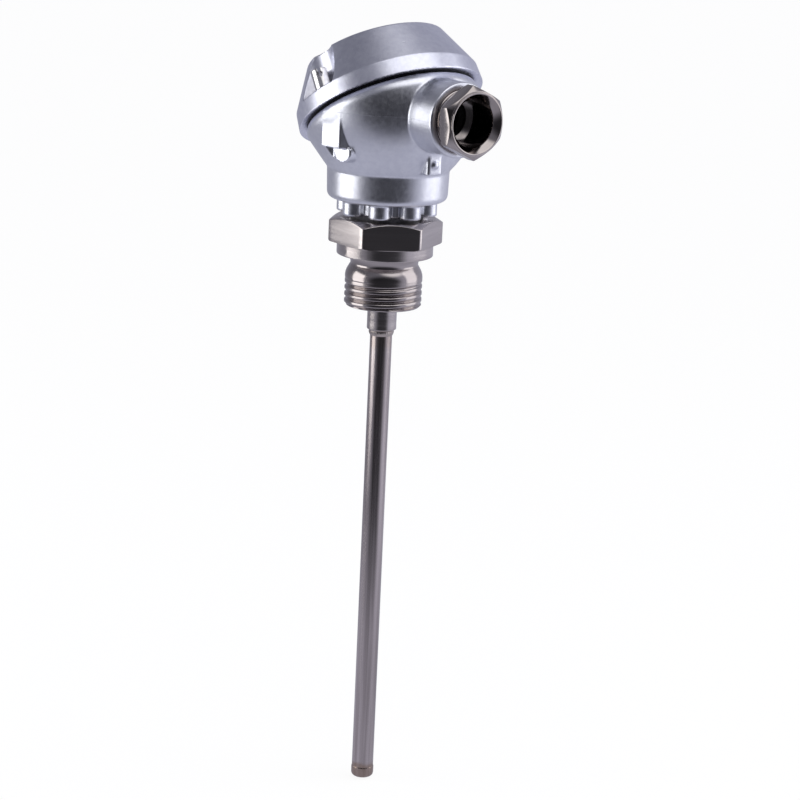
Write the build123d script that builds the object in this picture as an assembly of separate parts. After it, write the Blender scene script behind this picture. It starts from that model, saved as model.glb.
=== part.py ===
from build123d import *
import os
from math import cos, radians, sin, sqrt, tan

# Screw-in resistance thermometer with a small slant-lid connection head.
# Millimetres. Origin: centre of the sealing face under the collar of the process fitting.
# +Z runs up the stem axis, +X points out of the cable entry, and XZ is the plane of symmetry.

# Fits
RUNNING_FIT = 0.05          # radial clearance of screwed and sliding fits
POWDER_FIT = 0.03           # radial clearance of what is packed inside the sheath
HOLE_CLEARANCE = 0.2        # radial clearance of a bolt hole

# Process fitting
THREAD_D = 20.955           # G 1/2 pipe thread
THREAD_PITCH = 1.814
THREAD_FORM = 0.64033       # thread depth over pitch
THREAD_LENGTH = 14.0        # sealing face to thread end
UNDERCUT_LENGTH = 3.2
UNDERCUT_STEP = 0.1         # below the thread root
COLLAR_D = 26.0
COLLAR_HEIGHT = 3.3
HEX_ACROSS_FLATS = 27.0
HEX_HEIGHT = 7.0
HEX_TURN = 1.7              # degrees from +X to the first corner
HEX_CHAMFER_ANGLE = 30.0
HEX_CROWN_INSET = 0.35      # crown circle inside the flats
HEX_FOOT_BREAK = 0.3
SHOULDER_D = 8.0
SHOULDER_LENGTH = 4.3
SHOULDER_CHAMFER = 0.45
WELD_LENGTH = 1.3           # weld fillet between shoulder and tube
WELD_PROUD = 0.25
NIPPLE_D = 16.0             # upper nipple that carries the head
NIPPLE_LENGTH = 9.0
WIRE_PASSAGE_D = 12.0
TUBE_SOCKET_TOP = 2.0       # where the tube ends inside the fitting

# Sheath
TUBE_D = 6.0
TUBE_WALL = 0.5
INSERTION_LENGTH = 150.0
TIP_LENGTH = 3.2
TIP_OVERSIZE = 0.12         # how far the weld of the tip stands proud
TIP_ROUND = 1.2
TIP_SPIGOT = 1.6

# Sensor and leads inside the sheath
ELEMENT_D = 3.2
ELEMENT_LENGTH = 15.0
ELEMENT_ROUND = 0.6
ELEMENT_GAP = 2.0           # bare wire between element and insulators
INSULATOR_D = 4.2
INSULATOR_COUNT = 5
INSULATOR_JOINT = 0.4
PLUG_LENGTH = 5.0
WIRE_D = 0.5
WIRE_OFFSET = 0.9           # of each of the four wires from the axis, along X and Y
WIRE_BORE_D = 0.7
WIRE_BEND = 1.5
SLEEVE_D = 1.3

# Head casting
NECK_SEAL_THICKNESS = 1.1
NECK_SEAL_WIDTH = 1.7
NECK_CORE_D = 20.6
PEG_COUNT = 8
PEG_D = 5.7
PEG_CIRCLE_D = 21.2
PEG_ROUND = 0.4
NECK_HEIGHT = 3.8           # visible length of the pegs
BASE_D = 32.8
BASE_HEIGHT = 8.24
BASE_DRAFT = 0.25
BASE_FILLET = 1.5
FLOOR_THICKNESS = 4.3
WALL = 2.3
WAIST_D = 42.6              # middle section of the bowl
WAIST_OFFSET = 2.6
WAIST_RISE = 7.6            # above the top of the base
BROW_D = 47.6               # upper section of the bowl, just below the lid joint
BROW_DROP = 1.7             # from the lid joint, along the lid axis
MOUTH_D = 46.2              # at the lid joint

# Lid joint: its axis is tilted in the XZ plane and crosses Z = 0 at LID_AXIS_X
LID_TILT = 31.5
LID_AXIS_X = 24.4
MOUTH_HEIGHT = 46.2         # along the lid axis, from Z = 0
GASKET_THICKNESS = 0.6
GASKET_WIDTH = 2.1
GASKET_INSET = 0.1
GASKET_EAR_D = 6.0          # ear round each lid screw

# Lid casting
RIM_D = 50.6
RIM_TOP_D = 49.7
RIM_HEIGHT = 4.05
LID_TOP_D = 37.6
LID_HEIGHT = 15.6
LID_WALL = 2.3
LID_EDGE_ROUND = 0.5
RIM_EDGE_ROUND = 0.5
LID_MOUTH_D = 39.8
LID_MOUTH_DRAFT = 0.4
POCKET_RADIUS = 6.45        # scoop in the lid's side over each lid screw
POCKET_U = 2.8              # its centre in the lid's own frame
POCKET_V = 23.5
POCKET_WALL = 1.9

# Lid screws
LID_SCREW_U = 0.9           # their place in the lid's own frame
LID_SCREW_V = 20.3
LID_SCREW_D = 2.5
LID_SCREW_HEAD_D = 4.5
LID_SCREW_HEAD_HEIGHT = 6.6
LID_SCREW_REACH = 12.0      # below the head
LID_SCREW_RUN_OUT = 0.7     # tapped hole beyond the end of the screw
LID_SCREW_SLOT_WIDTH = 0.8
LID_SCREW_SLOT_DEPTH = 1.0
LID_SCREW_TURN = -35.5      # degrees, where the slot points at rest
SEAL_HOLE_D = 1.3
SEAL_HOLE_DEPTH = 1.8       # below the top of the head
CLIP_D = 4.4
CLIP_THICKNESS = 0.8
CLIP_POCKET_DEPTH = 1.1
SCREW_BOSS_D = 5.2          # boss inside the bowl
SCREW_BOSS_HEIGHT = 9.5
SCREW_KNOB_D = 4.0          # blind end of the boss, in sight below the pad
SCREW_KNOB_LENGTH = 14.5
SCREW_KNOB_ROUND = 1.2
SCREW_KNOB_WEB = 4.5        # from the screw axis into the wall of the bowl
SCREW_PAD_FROM = 0.6        # cast pad outside the bowl round each boss, along X
SCREW_PAD_TO = 8.7
SCREW_PAD_FACE = 22.1
SCREW_PAD_BOTTOM = 30.7
SCREW_PAD_DEPTH = 4.8
SCREW_PAD_ROUND = 0.5

# Cable entry
GLAND_HEIGHT = 40.3
BOSS_D = 19.6
BOSS_END = 31.4
BOSS_CHAMFER = 0.5
BOSS_INNER_END = 18.5
BOSS_LIP = 2.0
GLAND_THREAD_D = 16.0
GLAND_LIP_HOLE_D = 12.0
SEAL_LENGTH = 5.0
SEAL_BORE_D = 8.0
SEAL_BEVEL = 0.8
WASHER_THICKNESS = 0.8
WASHER_BORE_D = 10.4
GLAND_NECK_LENGTH = 1.7     # thread in sight between boss and hexagon
GLAND_HEX_AF = 17.0
GLAND_HEX_LENGTH = 3.7
GLAND_HEX_TURN = 4.1        # degrees from a corner straight down
GLAND_HEX_BEVEL = 0.7       # slope of the bevel behind the hexagon
GLAND_HEX_BREAK = 0.4
GLAND_NOSE = 0.9            # length of the cone from the hexagon to the lip
GLAND_NOSE_STEP = 0.25
GLAND_LIP_D = 16.2
GLAND_LIP_END = 38.1
GLAND_LIP_BREAK = 0.2
GLAND_MOUTH_D = 15.4
GLAND_MOUTH_DEPTH = 1.8     # countersink from the lip to the bore
GLAND_BORE_D = 12.6

# Lug cast under the cable entry
LUG_WIDTH = 4.6
LUG_FACE = 21.0
LUG_BOTTOM = 24.4
LUG_TOP = 31.5
LUG_ROUND = 0.6
LUG_PIP_D = 2.0
LUG_PIP_RISE = 0.5
LUG_PIP_HEIGHT = 27.2

# Terminal block and what it carries
BLOCK_D = 25.0
BLOCK_THICKNESS = 7.0
BLOCK_EDGE_BREAK = 0.5
BLOCK_STANDOFF = 4.0
BLOCK_HOLE_D = 6.0
BLOCK_SCREW_INSET = 3.1     # from the block's rim to the axis of a fixing screw
BLOCK_SCREW_D = 3.0
BLOCK_SCREW_HEAD_D = 5.4
BLOCK_SCREW_HEAD_HEIGHT = 2.2
BLOCK_SCREW_TURN = 40.0
PILLAR_D = 5.0
PILLAR_HOLE_DEPTH = 4.0
TERMINAL_RADIUS = 7.4
POST_D = 5.2
POST_HEIGHT = 2.4
TERMINAL_SCREW_D = 2.5
TERMINAL_SCREW_HEAD_D = 4.4
TERMINAL_SCREW_HEAD_HEIGHT = 1.8
TERMINAL_SCREW_TURN = 25.0  # degrees from one slot to the next
SLOT_WIDTH = 0.7
SLOT_DEPTH = 0.8
SCREW_HEAD_BREAK = 0.25
SCREW_END_GAP = 0.3         # between the end of a screw and the bottom of its hole

# Earth screw in the head
EARTH_X = 14.0
EARTH_Y = -8.2
EARTH_PILLAR_D = 5.6
EARTH_PILLAR_TOP = 31.0
EARTH_SCREW_D = 3.0
EARTH_SCREW_REACH = 4.0
EARTH_HEAD_D = 5.0
EARTH_HEAD_HEIGHT = 2.2
EARTH_WASHER_D = 5.4
EARTH_WASHER_THICKNESS = 0.7

# Heights that follow
hex_top = COLLAR_HEIGHT + HEX_HEIGHT
nipple_top = hex_top + NIPPLE_LENGTH
neck_bottom = hex_top + NECK_SEAL_THICKNESS
base_bottom = neck_bottom + NECK_HEIGHT
base_top = base_bottom + BASE_HEIGHT
floor_top = base_bottom + FLOOR_THICKNESS
block_bottom = floor_top + BLOCK_STANDOFF
block_top = block_bottom + BLOCK_THICKNESS
post_top = block_top + POST_HEIGHT
shoulder_bottom = -THREAD_LENGTH - SHOULDER_LENGTH
weld_bottom = shoulder_bottom - WELD_LENGTH
tube_bottom = -INSERTION_LENGTH + TIP_LENGTH
tube_bore_d = TUBE_D - 2 * TUBE_WALL
element_bottom = tube_bottom + TIP_SPIGOT
element_top = element_bottom + ELEMENT_LENGTH
insulator_bottom = element_top + ELEMENT_GAP
plug_bottom = TUBE_SOCKET_TOP - PLUG_LENGTH

# Heights along the lid axis
lid_bottom = MOUTH_HEIGHT + GASKET_THICKNESS
rim_top = lid_bottom + RIM_HEIGHT
lid_top = lid_bottom + LID_HEIGHT
lid_screw_end = rim_top - LID_SCREW_REACH
knob_end = MOUTH_HEIGHT - SCREW_KNOB_LENGTH

# Places along the cable entry
seal_start = BOSS_INNER_END + BOSS_LIP
washer_start = seal_start + SEAL_LENGTH
gland_thread_start = washer_start + WASHER_THICKNESS
gland_hex_start = BOSS_END + GLAND_NECK_LENGTH
gland_hex_end = gland_hex_start + GLAND_HEX_LENGTH

# Places of the wires and the terminals
quadrants = [(x, y) for x in (1, -1) for y in (1, -1)]
terminal_side = TERMINAL_RADIUS / sqrt(2)
block_screw_r = BLOCK_D / 2 - BLOCK_SCREW_INSET
wire_places = [(x * WIRE_OFFSET, y * WIRE_OFFSET) for x, y in quadrants]
terminal_places = [(x * terminal_side, y * terminal_side) for x, y in quadrants]


def turned(profile):
    """Solid of revolution about Z from a closed outline of (radius, height) points."""
    outline = Polyline(*[(radius, 0, height) for radius, height in profile], close=True)
    return revolve(make_face(outline), Axis.Z)


def tube(outer_d, inner_d, bottom, top):
    """Plain ring or tube about Z between two heights."""
    return turned([
        (inner_d / 2, bottom),
        (outer_d / 2, bottom),
        (outer_d / 2, top),
        (inner_d / 2, top),
    ])


def rod(diameter, bottom, top):
    """Plain cylinder about Z between two heights."""
    return Pos(0, 0, (bottom + top) / 2) * Cylinder(diameter / 2, top - bottom)


def lowest_circle(shape):
    """Lowest round edge of a shape that stands on Z."""
    return shape.edges().filter_by(GeomType.CIRCLE).sort_by(Axis.Z)[0]


def highest_circle(shape):
    """Highest round edge of a shape that stands on Z."""
    return shape.edges().filter_by(GeomType.CIRCLE).sort_by(Axis.Z)[-1]


def cheese_screw(shank_d, reach, head_d, head_height, slot_width, slot_depth):
    """Slotted cheese-head screw, head seat at Z = 0, shank downwards."""
    screw = rod(head_d, 0, head_height) + rod(shank_d, -reach, 0)
    screw = chamfer(highest_circle(screw), SCREW_HEAD_BREAK)
    slot = Pos(0, 0, head_height) * Box(2 * head_d, slot_width, 2 * slot_depth)
    return screw - slot


def plane_at(tilt, origin):
    """Plane whose normal leans from +Z towards -X by the tilt."""
    lean = radians(tilt)
    return Plane(origin=origin, x_dir=(cos(lean), 0, sin(lean)), z_dir=(-sin(lean), 0, cos(lean)))


# The lid's own frame: local Z is the lid axis, local X lies in the plane of symmetry
lid_plane = plane_at(LID_TILT, (LID_AXIS_X, 0, 0))
lid_frame = Location(lid_plane)


def at_lid_screw(side, shape):
    """Put a shape that was made about Z in the lid's own frame on one lid screw's axis."""
    return Pos(LID_SCREW_U, side * LID_SCREW_V, 0) * shape


def on_gland(shape):
    """Turn a shape that was made about Z so that it lies along +X at the cable entry."""
    return Pos(0, 0, GLAND_HEIGHT) * Rot(0, 90, 0) * shape


# Process fitting
def make_process_fitting():
    """Hexagon, collar, pipe thread, shoulder and upper nipple, turned from one bar."""
    thread_depth = THREAD_FORM * THREAD_PITCH
    crest_r = THREAD_D / 2
    root_r = crest_r - thread_depth
    undercut_r = root_r - UNDERCUT_STEP
    run_out = crest_r - undercut_r
    shank = turned([
        (0, -THREAD_LENGTH),
        (root_r, -THREAD_LENGTH),
        (crest_r, -THREAD_LENGTH + thread_depth),
        (crest_r, -UNDERCUT_LENGTH - run_out),
        (undercut_r, -UNDERCUT_LENGTH),
        (undercut_r, 0),
        (COLLAR_D / 2, 0),
        (COLLAR_D / 2, COLLAR_HEIGHT),
        (0, COLLAR_HEIGHT),
    ])
    corner_r = HEX_ACROSS_FLATS / sqrt(3)
    crown_r = HEX_ACROSS_FLATS / 2 - HEX_CROWN_INSET
    crown_drop = (corner_r - crown_r) * tan(radians(HEX_CHAMFER_ANGLE))
    prism = extrude(RegularPolygon(corner_r, 6, rotation=HEX_TURN), HEX_HEIGHT)
    crown = turned([
        (0, 0),
        (corner_r - HEX_FOOT_BREAK, 0),
        (corner_r, HEX_FOOT_BREAK),
        (corner_r, HEX_HEIGHT - crown_drop),
        (crown_r, HEX_HEIGHT),
        (0, HEX_HEIGHT),
    ])
    hexagon = Pos(0, 0, COLLAR_HEIGHT) * (prism & crown)
    shoulder = turned([
        (0, -THREAD_LENGTH),
        (SHOULDER_D / 2, -THREAD_LENGTH),
        (SHOULDER_D / 2, shoulder_bottom + SHOULDER_CHAMFER),
        (SHOULDER_D / 2 - SHOULDER_CHAMFER, shoulder_bottom),
        (TUBE_D / 2 + WELD_PROUD, weld_bottom),
        (0, weld_bottom),
    ])
    nipple = rod(NIPPLE_D, hex_top, nipple_top)
    socket = rod(TUBE_D + 2 * RUNNING_FIT, weld_bottom, TUBE_SOCKET_TOP)
    passage = rod(WIRE_PASSAGE_D, TUBE_SOCKET_TOP, nipple_top)
    return shank + hexagon + shoulder + nipple - socket - passage


# Sheath and what it holds
def make_sheath_tube():
    """Drawn protective tube, open at both ends."""
    return tube(TUBE_D, tube_bore_d, tube_bottom, TUBE_SOCKET_TOP)


def make_tip_cap():
    """Plug welded into the lower end of the tube."""
    cap = rod(TUBE_D + 2 * TIP_OVERSIZE, -INSERTION_LENGTH, tube_bottom)
    cap = fillet(lowest_circle(cap), TIP_ROUND)
    cap = chamfer(highest_circle(cap), TIP_OVERSIZE)
    spigot = rod(tube_bore_d - 2 * RUNNING_FIT, tube_bottom, element_bottom)
    return cap + spigot


def four_bores(diameter, bottom, top):
    """The four parallel wire bores between two heights."""
    return Compound([Pos(x, y, 0) * rod(diameter, bottom, top) for x, y in wire_places])


def make_sensor_element():
    """Ceramic platinum resistor with a rounded foot."""
    body = rod(ELEMENT_D, element_bottom, element_top)
    return fillet(lowest_circle(body), ELEMENT_ROUND)


def make_bore_insulators():
    """Row of four-bore ceramic insulators that keep the wires apart."""
    run = plug_bottom - insulator_bottom
    length = (run - (INSULATOR_COUNT - 1) * INSULATOR_JOINT) / INSULATOR_COUNT
    pieces = []
    for number in range(INSULATOR_COUNT):
        bottom = insulator_bottom + number * (length + INSULATOR_JOINT)
        blank = rod(INSULATOR_D, bottom, bottom + length)
        pieces.append(blank - four_bores(WIRE_BORE_D, bottom, bottom + length))
    return Compound(pieces)


def make_sheath_filling():
    """Packed magnesia around the element and the insulators."""
    outer_r = tube_bore_d / 2 - POWDER_FIT
    element_r = ELEMENT_D / 2 + POWDER_FIT
    insulator_r = INSULATOR_D / 2 + POWDER_FIT
    return turned([
        (element_r, element_bottom),
        (outer_r, element_bottom),
        (outer_r, plug_bottom),
        (insulator_r, plug_bottom),
        (insulator_r, insulator_bottom),
        (element_r, insulator_bottom),
    ])


def make_top_plug():
    """Cast resin plug that closes the upper end of the tube."""
    blank = rod(tube_bore_d - 2 * POWDER_FIT, plug_bottom, TUBE_SOCKET_TOP)
    return blank - four_bores(WIRE_D + 2 * POWDER_FIT, plug_bottom, TUBE_SOCKET_TOP)


def make_lead_wires():
    """Four nickel wires from the element to the terminals."""
    level = post_top + WIRE_D / 2
    reach = (TERMINAL_RADIUS - TERMINAL_SCREW_D / 2 - SCREW_END_GAP) / sqrt(2)
    wires = []
    for x, y in quadrants:
        start = (x * WIRE_OFFSET, y * WIRE_OFFSET, element_top)
        corner = (x * WIRE_OFFSET, y * WIRE_OFFSET, level)
        end = (x * reach, y * reach, level)
        path = FilletPolyline(start, corner, end, radius=WIRE_BEND)
        profile = Plane(origin=start, z_dir=(0, 0, 1)) * Circle(WIRE_D / 2)
        wires += sweep(profile, path=path).solids()
    return Compound(wires)


def make_lead_sleeves():
    """Glass-fibre sleeves on the wires between the plug and the terminal block."""
    sleeve = tube(SLEEVE_D, WIRE_D + 2 * POWDER_FIT, TUBE_SOCKET_TOP, block_top - WIRE_BEND)
    return Compound([Pos(x, y, 0) * sleeve for x, y in wire_places])


# Head casting
base_r = BASE_D / 2
waist_centre = (WAIST_OFFSET, 0, base_top + WAIST_RISE)
brow_centre = lid_plane.from_local_coords((0, 0, MOUTH_HEIGHT - BROW_DROP))
mouth_centre = lid_plane.from_local_coords((0, 0, MOUTH_HEIGHT))


def bowl(inset):
    """Bowl between the base and the lid joint, its sections made smaller by the inset."""
    base = Plane(origin=(0, 0, base_top)) * Circle(base_r - inset)
    waist = plane_at(LID_TILT / 2, waist_centre) * Circle(WAIST_D / 2 - inset)
    brow = plane_at(LID_TILT, brow_centre) * Circle(BROW_D / 2 - inset)
    mouth = plane_at(LID_TILT, mouth_centre) * Circle(MOUTH_D / 2 - inset)
    return loft([base, waist, brow]) + loft([brow, mouth])


def make_neck():
    """Neck core with its ring of cast pegs."""
    neck = rod(NECK_CORE_D, neck_bottom, base_bottom + BASE_FILLET)
    peg = rod(PEG_D, neck_bottom, base_bottom + BASE_FILLET)
    peg = fillet(lowest_circle(peg), PEG_ROUND)
    for number in range(PEG_COUNT):
        neck += Rot(0, 0, number * 360 / PEG_COUNT) * Pos(PEG_CIRCLE_D / 2, 0, 0) * peg
    return neck


def make_base():
    """Drafted ring at the foot of the bowl."""
    base = turned([
        (0, base_bottom),
        (base_r - BASE_DRAFT, base_bottom),
        (base_r, base_top),
        (0, base_top),
    ])
    return fillet(lowest_circle(base), BASE_FILLET)


def make_screw_pad(side):
    """Cast pad outside the bowl that encloses the boss of one lid screw."""
    width = SCREW_PAD_TO - SCREW_PAD_FROM
    height = GLAND_HEIGHT - SCREW_PAD_BOTTOM
    pad = Pos(
        SCREW_PAD_FROM + width / 2,
        side * (SCREW_PAD_FACE - SCREW_PAD_DEPTH / 2),
        SCREW_PAD_BOTTOM + height / 2,
    ) * Box(width, SCREW_PAD_DEPTH, height)
    by_depth = pad.edges().filter_by(Axis.Z).group_by(Axis.Y)
    return fillet(by_depth[-1 if side > 0 else 0], SCREW_PAD_ROUND)


def make_screw_knob(side):
    """Blind lower end of one screw boss, with the web that ties it to the bowl."""
    knob = rod(SCREW_KNOB_D, knob_end, MOUTH_HEIGHT)
    knob = fillet(lowest_circle(knob), SCREW_KNOB_ROUND)
    web_bottom = knob_end + SCREW_KNOB_ROUND
    web = Pos(0, -side * SCREW_KNOB_WEB / 2, (web_bottom + MOUTH_HEIGHT) / 2) * Box(
        SCREW_KNOB_D, SCREW_KNOB_WEB, MOUTH_HEIGHT - web_bottom
    )
    return lid_frame * at_lid_screw(side, knob + web)


def make_lug():
    """Small lug with a round pip between the base and the cable boss."""
    inner = base_r - WALL / 2
    lug = Pos((inner + LUG_FACE) / 2, 0, (LUG_BOTTOM + LUG_TOP) / 2) * Box(
        LUG_FACE - inner, LUG_WIDTH, LUG_TOP - LUG_BOTTOM
    )
    lug = fillet(lug.edges().filter_by(Axis.Z).group_by(Axis.X)[-1], LUG_ROUND)
    pip = Pos(LUG_FACE, 0, LUG_PIP_HEIGHT) * Rot(0, 90, 0) * Cylinder(LUG_PIP_D / 2, 2 * LUG_PIP_RISE)
    return lug + pip


def make_head_body():
    """Cast head: neck, base, bowl, cable boss, screw pads and the bosses inside."""
    shell = bowl(0)
    body = make_neck() + make_base() + shell + make_lug()
    boss = rod(BOSS_D, LUG_FACE / 2, BOSS_END)
    body += on_gland(chamfer(highest_circle(boss), BOSS_CHAMFER))
    for side in (1, -1):
        body += make_screw_pad(side)
        body += make_screw_knob(side)

    body -= bowl(WALL)
    body -= rod(2 * (base_r - WALL), floor_top, base_top)
    body += on_gland(rod(BOSS_D, BOSS_INNER_END, BOSS_END - BOSS_CHAMFER))
    for side in (1, -1):
        boss = rod(SCREW_BOSS_D, MOUTH_HEIGHT - SCREW_BOSS_HEIGHT, MOUTH_HEIGHT)
        body += (lid_frame * at_lid_screw(side, boss)) & shell
        pillar = rod(PILLAR_D, floor_top - WALL, block_bottom)
        body += Pos(0, side * block_screw_r, 0) * pillar
    earth_pillar = rod(EARTH_PILLAR_D, base_top, EARTH_PILLAR_TOP)
    body += (Pos(EARTH_X, EARTH_Y, 0) * earth_pillar) & bowl(WALL / 2)

    body -= lid_frame * Pos(0, 0, MOUTH_HEIGHT + RIM_D / 2) * Box(2 * RIM_D, 2 * RIM_D, RIM_D)
    body -= rod(NIPPLE_D + 2 * RUNNING_FIT, neck_bottom, floor_top)
    entry = rod(GLAND_THREAD_D + 2 * RUNNING_FIT, seal_start, BOSS_END)
    entry += rod(GLAND_LIP_HOLE_D, BOSS_INNER_END - 1, BOSS_END)
    body -= on_gland(entry)
    for side in (1, -1):
        tapped = rod(LID_SCREW_D + 2 * RUNNING_FIT, lid_screw_end - LID_SCREW_RUN_OUT, MOUTH_HEIGHT)
        body -= lid_frame * at_lid_screw(side, tapped)
        hole = rod(BLOCK_SCREW_D + 2 * RUNNING_FIT, block_bottom - PILLAR_HOLE_DEPTH, block_bottom)
        body -= Pos(0, side * block_screw_r, 0) * hole
    earth_hole = rod(
        EARTH_SCREW_D + 2 * RUNNING_FIT, EARTH_PILLAR_TOP - EARTH_SCREW_REACH, EARTH_PILLAR_TOP
    )
    body -= Pos(EARTH_X, EARTH_Y, 0) * earth_hole
    return body


def make_neck_seal():
    """Flat seal between the neck and the hexagon."""
    inner_d = NIPPLE_D + 2 * HOLE_CLEARANCE
    return tube(inner_d + 2 * NECK_SEAL_WIDTH, inner_d, hex_top, neck_bottom)


# Lid and lid screws
def lid_shell():
    """Outer form of the lid: rim band and conical side."""
    shell = turned([
        (0, lid_bottom),
        (RIM_D / 2, lid_bottom),
        (RIM_TOP_D / 2, rim_top),
        (LID_TOP_D / 2, lid_top),
        (0, lid_top),
    ])
    shell = fillet(highest_circle(shell), LID_EDGE_ROUND)
    return fillet(lowest_circle(shell), RIM_EDGE_ROUND)


def lid_hollow():
    """Hollow of the lid, which keeps clear of the two scoops."""
    slope = (RIM_TOP_D - LID_TOP_D) / 2 / (lid_top - rim_top)
    ceiling = lid_top - LID_WALL
    hollow = turned([
        (0, lid_bottom),
        (LID_MOUTH_D / 2, lid_bottom),
        (LID_MOUTH_D / 2 - LID_MOUTH_DRAFT, rim_top),
        (LID_TOP_D / 2 + slope * LID_WALL - LID_WALL, ceiling),
        (0, ceiling),
    ])
    for side in (1, -1):
        backing = rod(2 * (POCKET_RADIUS + POCKET_WALL), lid_bottom, lid_top)
        hollow -= Pos(POCKET_U, side * POCKET_V, 0) * backing
    return hollow


def make_lid():
    """Cast lid with a rim band, a conical side and a scoop over each screw."""
    lid = lid_shell() - lid_hollow()
    for side in (1, -1):
        pocket = rod(2 * POCKET_RADIUS, rim_top, lid_top + LID_WALL)
        lid -= Pos(POCKET_U, side * POCKET_V, 0) * pocket
        hole = rod(LID_SCREW_D + 2 * HOLE_CLEARANCE, lid_bottom, rim_top)
        hole += rod(CLIP_D + 2 * HOLE_CLEARANCE, lid_bottom, lid_bottom + CLIP_POCKET_DEPTH)
        lid -= at_lid_screw(side, hole)
    return lid_frame * lid


def make_lid_gasket():
    """Flat rubber ring in the lid joint, with an ear round each lid screw."""
    outer_d = MOUTH_D - 2 * GASKET_INSET
    gasket = tube(outer_d, outer_d - 2 * GASKET_WIDTH, MOUTH_HEIGHT, lid_bottom)
    disc = rod(outer_d, MOUTH_HEIGHT, lid_bottom)
    for side in (1, -1):
        gasket += at_lid_screw(side, rod(GASKET_EAR_D, MOUTH_HEIGHT, lid_bottom)) & disc
    for side in (1, -1):
        gasket -= at_lid_screw(side, rod(LID_SCREW_D + 2 * HOLE_CLEARANCE, MOUTH_HEIGHT, lid_bottom))
    return lid_frame * gasket


def make_lid_screw(side):
    """Captive lid screw with a tall slotted head and a cross hole for a seal wire."""
    screw = cheese_screw(
        LID_SCREW_D,
        LID_SCREW_REACH,
        LID_SCREW_HEAD_D,
        LID_SCREW_HEAD_HEIGHT,
        LID_SCREW_SLOT_WIDTH,
        LID_SCREW_SLOT_DEPTH,
    )
    cross = Pos(0, 0, LID_SCREW_HEAD_HEIGHT - SEAL_HOLE_DEPTH) * Rot(0, 90, 0) * Cylinder(
        SEAL_HOLE_D / 2, 2 * LID_SCREW_HEAD_D
    )
    screw = Pos(0, 0, rim_top) * Rot(0, 0, -side * LID_SCREW_TURN) * (screw - cross)
    return lid_frame * at_lid_screw(side, screw)


def make_screw_clip(side):
    """Retaining ring that keeps one lid screw in the lid."""
    top = lid_bottom + CLIP_POCKET_DEPTH
    clip = tube(CLIP_D, LID_SCREW_D + 2 * RUNNING_FIT, top - CLIP_THICKNESS, top)
    return lid_frame * at_lid_screw(side, clip)


# Cable entry
def make_gland_screw():
    """Hollow pressure screw: thread, hexagon, conical front and round lip."""
    corner_r = GLAND_HEX_AF / sqrt(3)
    flat_r = GLAND_HEX_AF / 2
    lip_r = GLAND_LIP_D / 2
    nose_end = gland_hex_end + GLAND_NOSE
    polygon = RegularPolygon(corner_r, 6, rotation=GLAND_HEX_TURN)
    prism = Pos(0, 0, gland_hex_start) * extrude(polygon, GLAND_LIP_END - gland_hex_start)
    envelope = turned([
        (0, gland_hex_start),
        (flat_r, gland_hex_start),
        (corner_r, gland_hex_start + (corner_r - flat_r) * GLAND_HEX_BEVEL),
        (corner_r, gland_hex_end - GLAND_HEX_BREAK),
        (lip_r + GLAND_NOSE_STEP, nose_end),
        (lip_r, nose_end),
        (lip_r, GLAND_LIP_END - GLAND_LIP_BREAK),
        (lip_r - GLAND_LIP_BREAK, GLAND_LIP_END),
        (0, GLAND_LIP_END),
    ])
    screw = prism & envelope
    screw += rod(GLAND_THREAD_D, gland_thread_start, gland_hex_start)
    screw -= turned([
        (0, gland_thread_start),
        (GLAND_BORE_D / 2, gland_thread_start),
        (GLAND_BORE_D / 2, GLAND_LIP_END - GLAND_MOUTH_DEPTH),
        (GLAND_MOUTH_D / 2, GLAND_LIP_END),
        (0, GLAND_LIP_END),
    ])
    return on_gland(screw)


def make_gland_seal():
    """Rubber sealing ring that closes on the cable."""
    outer_r = GLAND_THREAD_D / 2 - RUNNING_FIT
    bore_r = SEAL_BORE_D / 2
    ring = turned([
        (bore_r, seal_start),
        (outer_r, seal_start),
        (outer_r, washer_start),
        (bore_r + SEAL_BEVEL, washer_start),
        (bore_r, washer_start - SEAL_BEVEL),
    ])
    return on_gland(ring)


def make_gland_washer():
    """Slip washer between the seal and the pressure screw."""
    outer_d = GLAND_THREAD_D - 2 * RUNNING_FIT
    return on_gland(tube(outer_d, WASHER_BORE_D, washer_start, gland_thread_start))


# Terminal block and earth screw
def make_terminal_block():
    """Round ceramic block with a wire hole, two fixing holes and four tapped inserts."""
    block = rod(BLOCK_D, block_bottom, block_top)
    block = chamfer(block.edges().filter_by(GeomType.CIRCLE), BLOCK_EDGE_BREAK)
    block -= rod(BLOCK_HOLE_D, block_bottom, block_top)
    sink_bottom = block_top - BLOCK_SCREW_HEAD_HEIGHT
    for side in (1, -1):
        hole = rod(BLOCK_SCREW_D + 2 * HOLE_CLEARANCE, block_bottom, block_top)
        sink = rod(BLOCK_SCREW_HEAD_D + 2 * HOLE_CLEARANCE, sink_bottom, block_top)
        block -= Pos(0, side * block_screw_r, 0) * (hole + sink)
    for x, y in terminal_places:
        tapped = rod(TERMINAL_SCREW_D + 2 * RUNNING_FIT, block_top - TERMINAL_SCREW_D, block_top)
        block -= Pos(x, y, 0) * tapped
    return block


def make_terminal_posts():
    """Four brass terminal posts."""
    post = tube(POST_D, TERMINAL_SCREW_D + 2 * RUNNING_FIT, block_top, post_top)
    return Compound([Pos(x, y, 0) * post for x, y in terminal_places])


def make_terminal_screws():
    """Four terminal screws, each clamping one wire on its post."""
    seat = post_top + WIRE_D
    screw = cheese_screw(
        TERMINAL_SCREW_D,
        seat - block_top + TERMINAL_SCREW_D - SCREW_END_GAP,
        TERMINAL_SCREW_HEAD_D,
        TERMINAL_SCREW_HEAD_HEIGHT,
        SLOT_WIDTH,
        SLOT_DEPTH,
    )
    return Compound([
        Pos(x, y, seat) * Rot(0, 0, TERMINAL_SCREW_TURN * number) * screw
        for number, (x, y) in enumerate(terminal_places)
    ])


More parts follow.
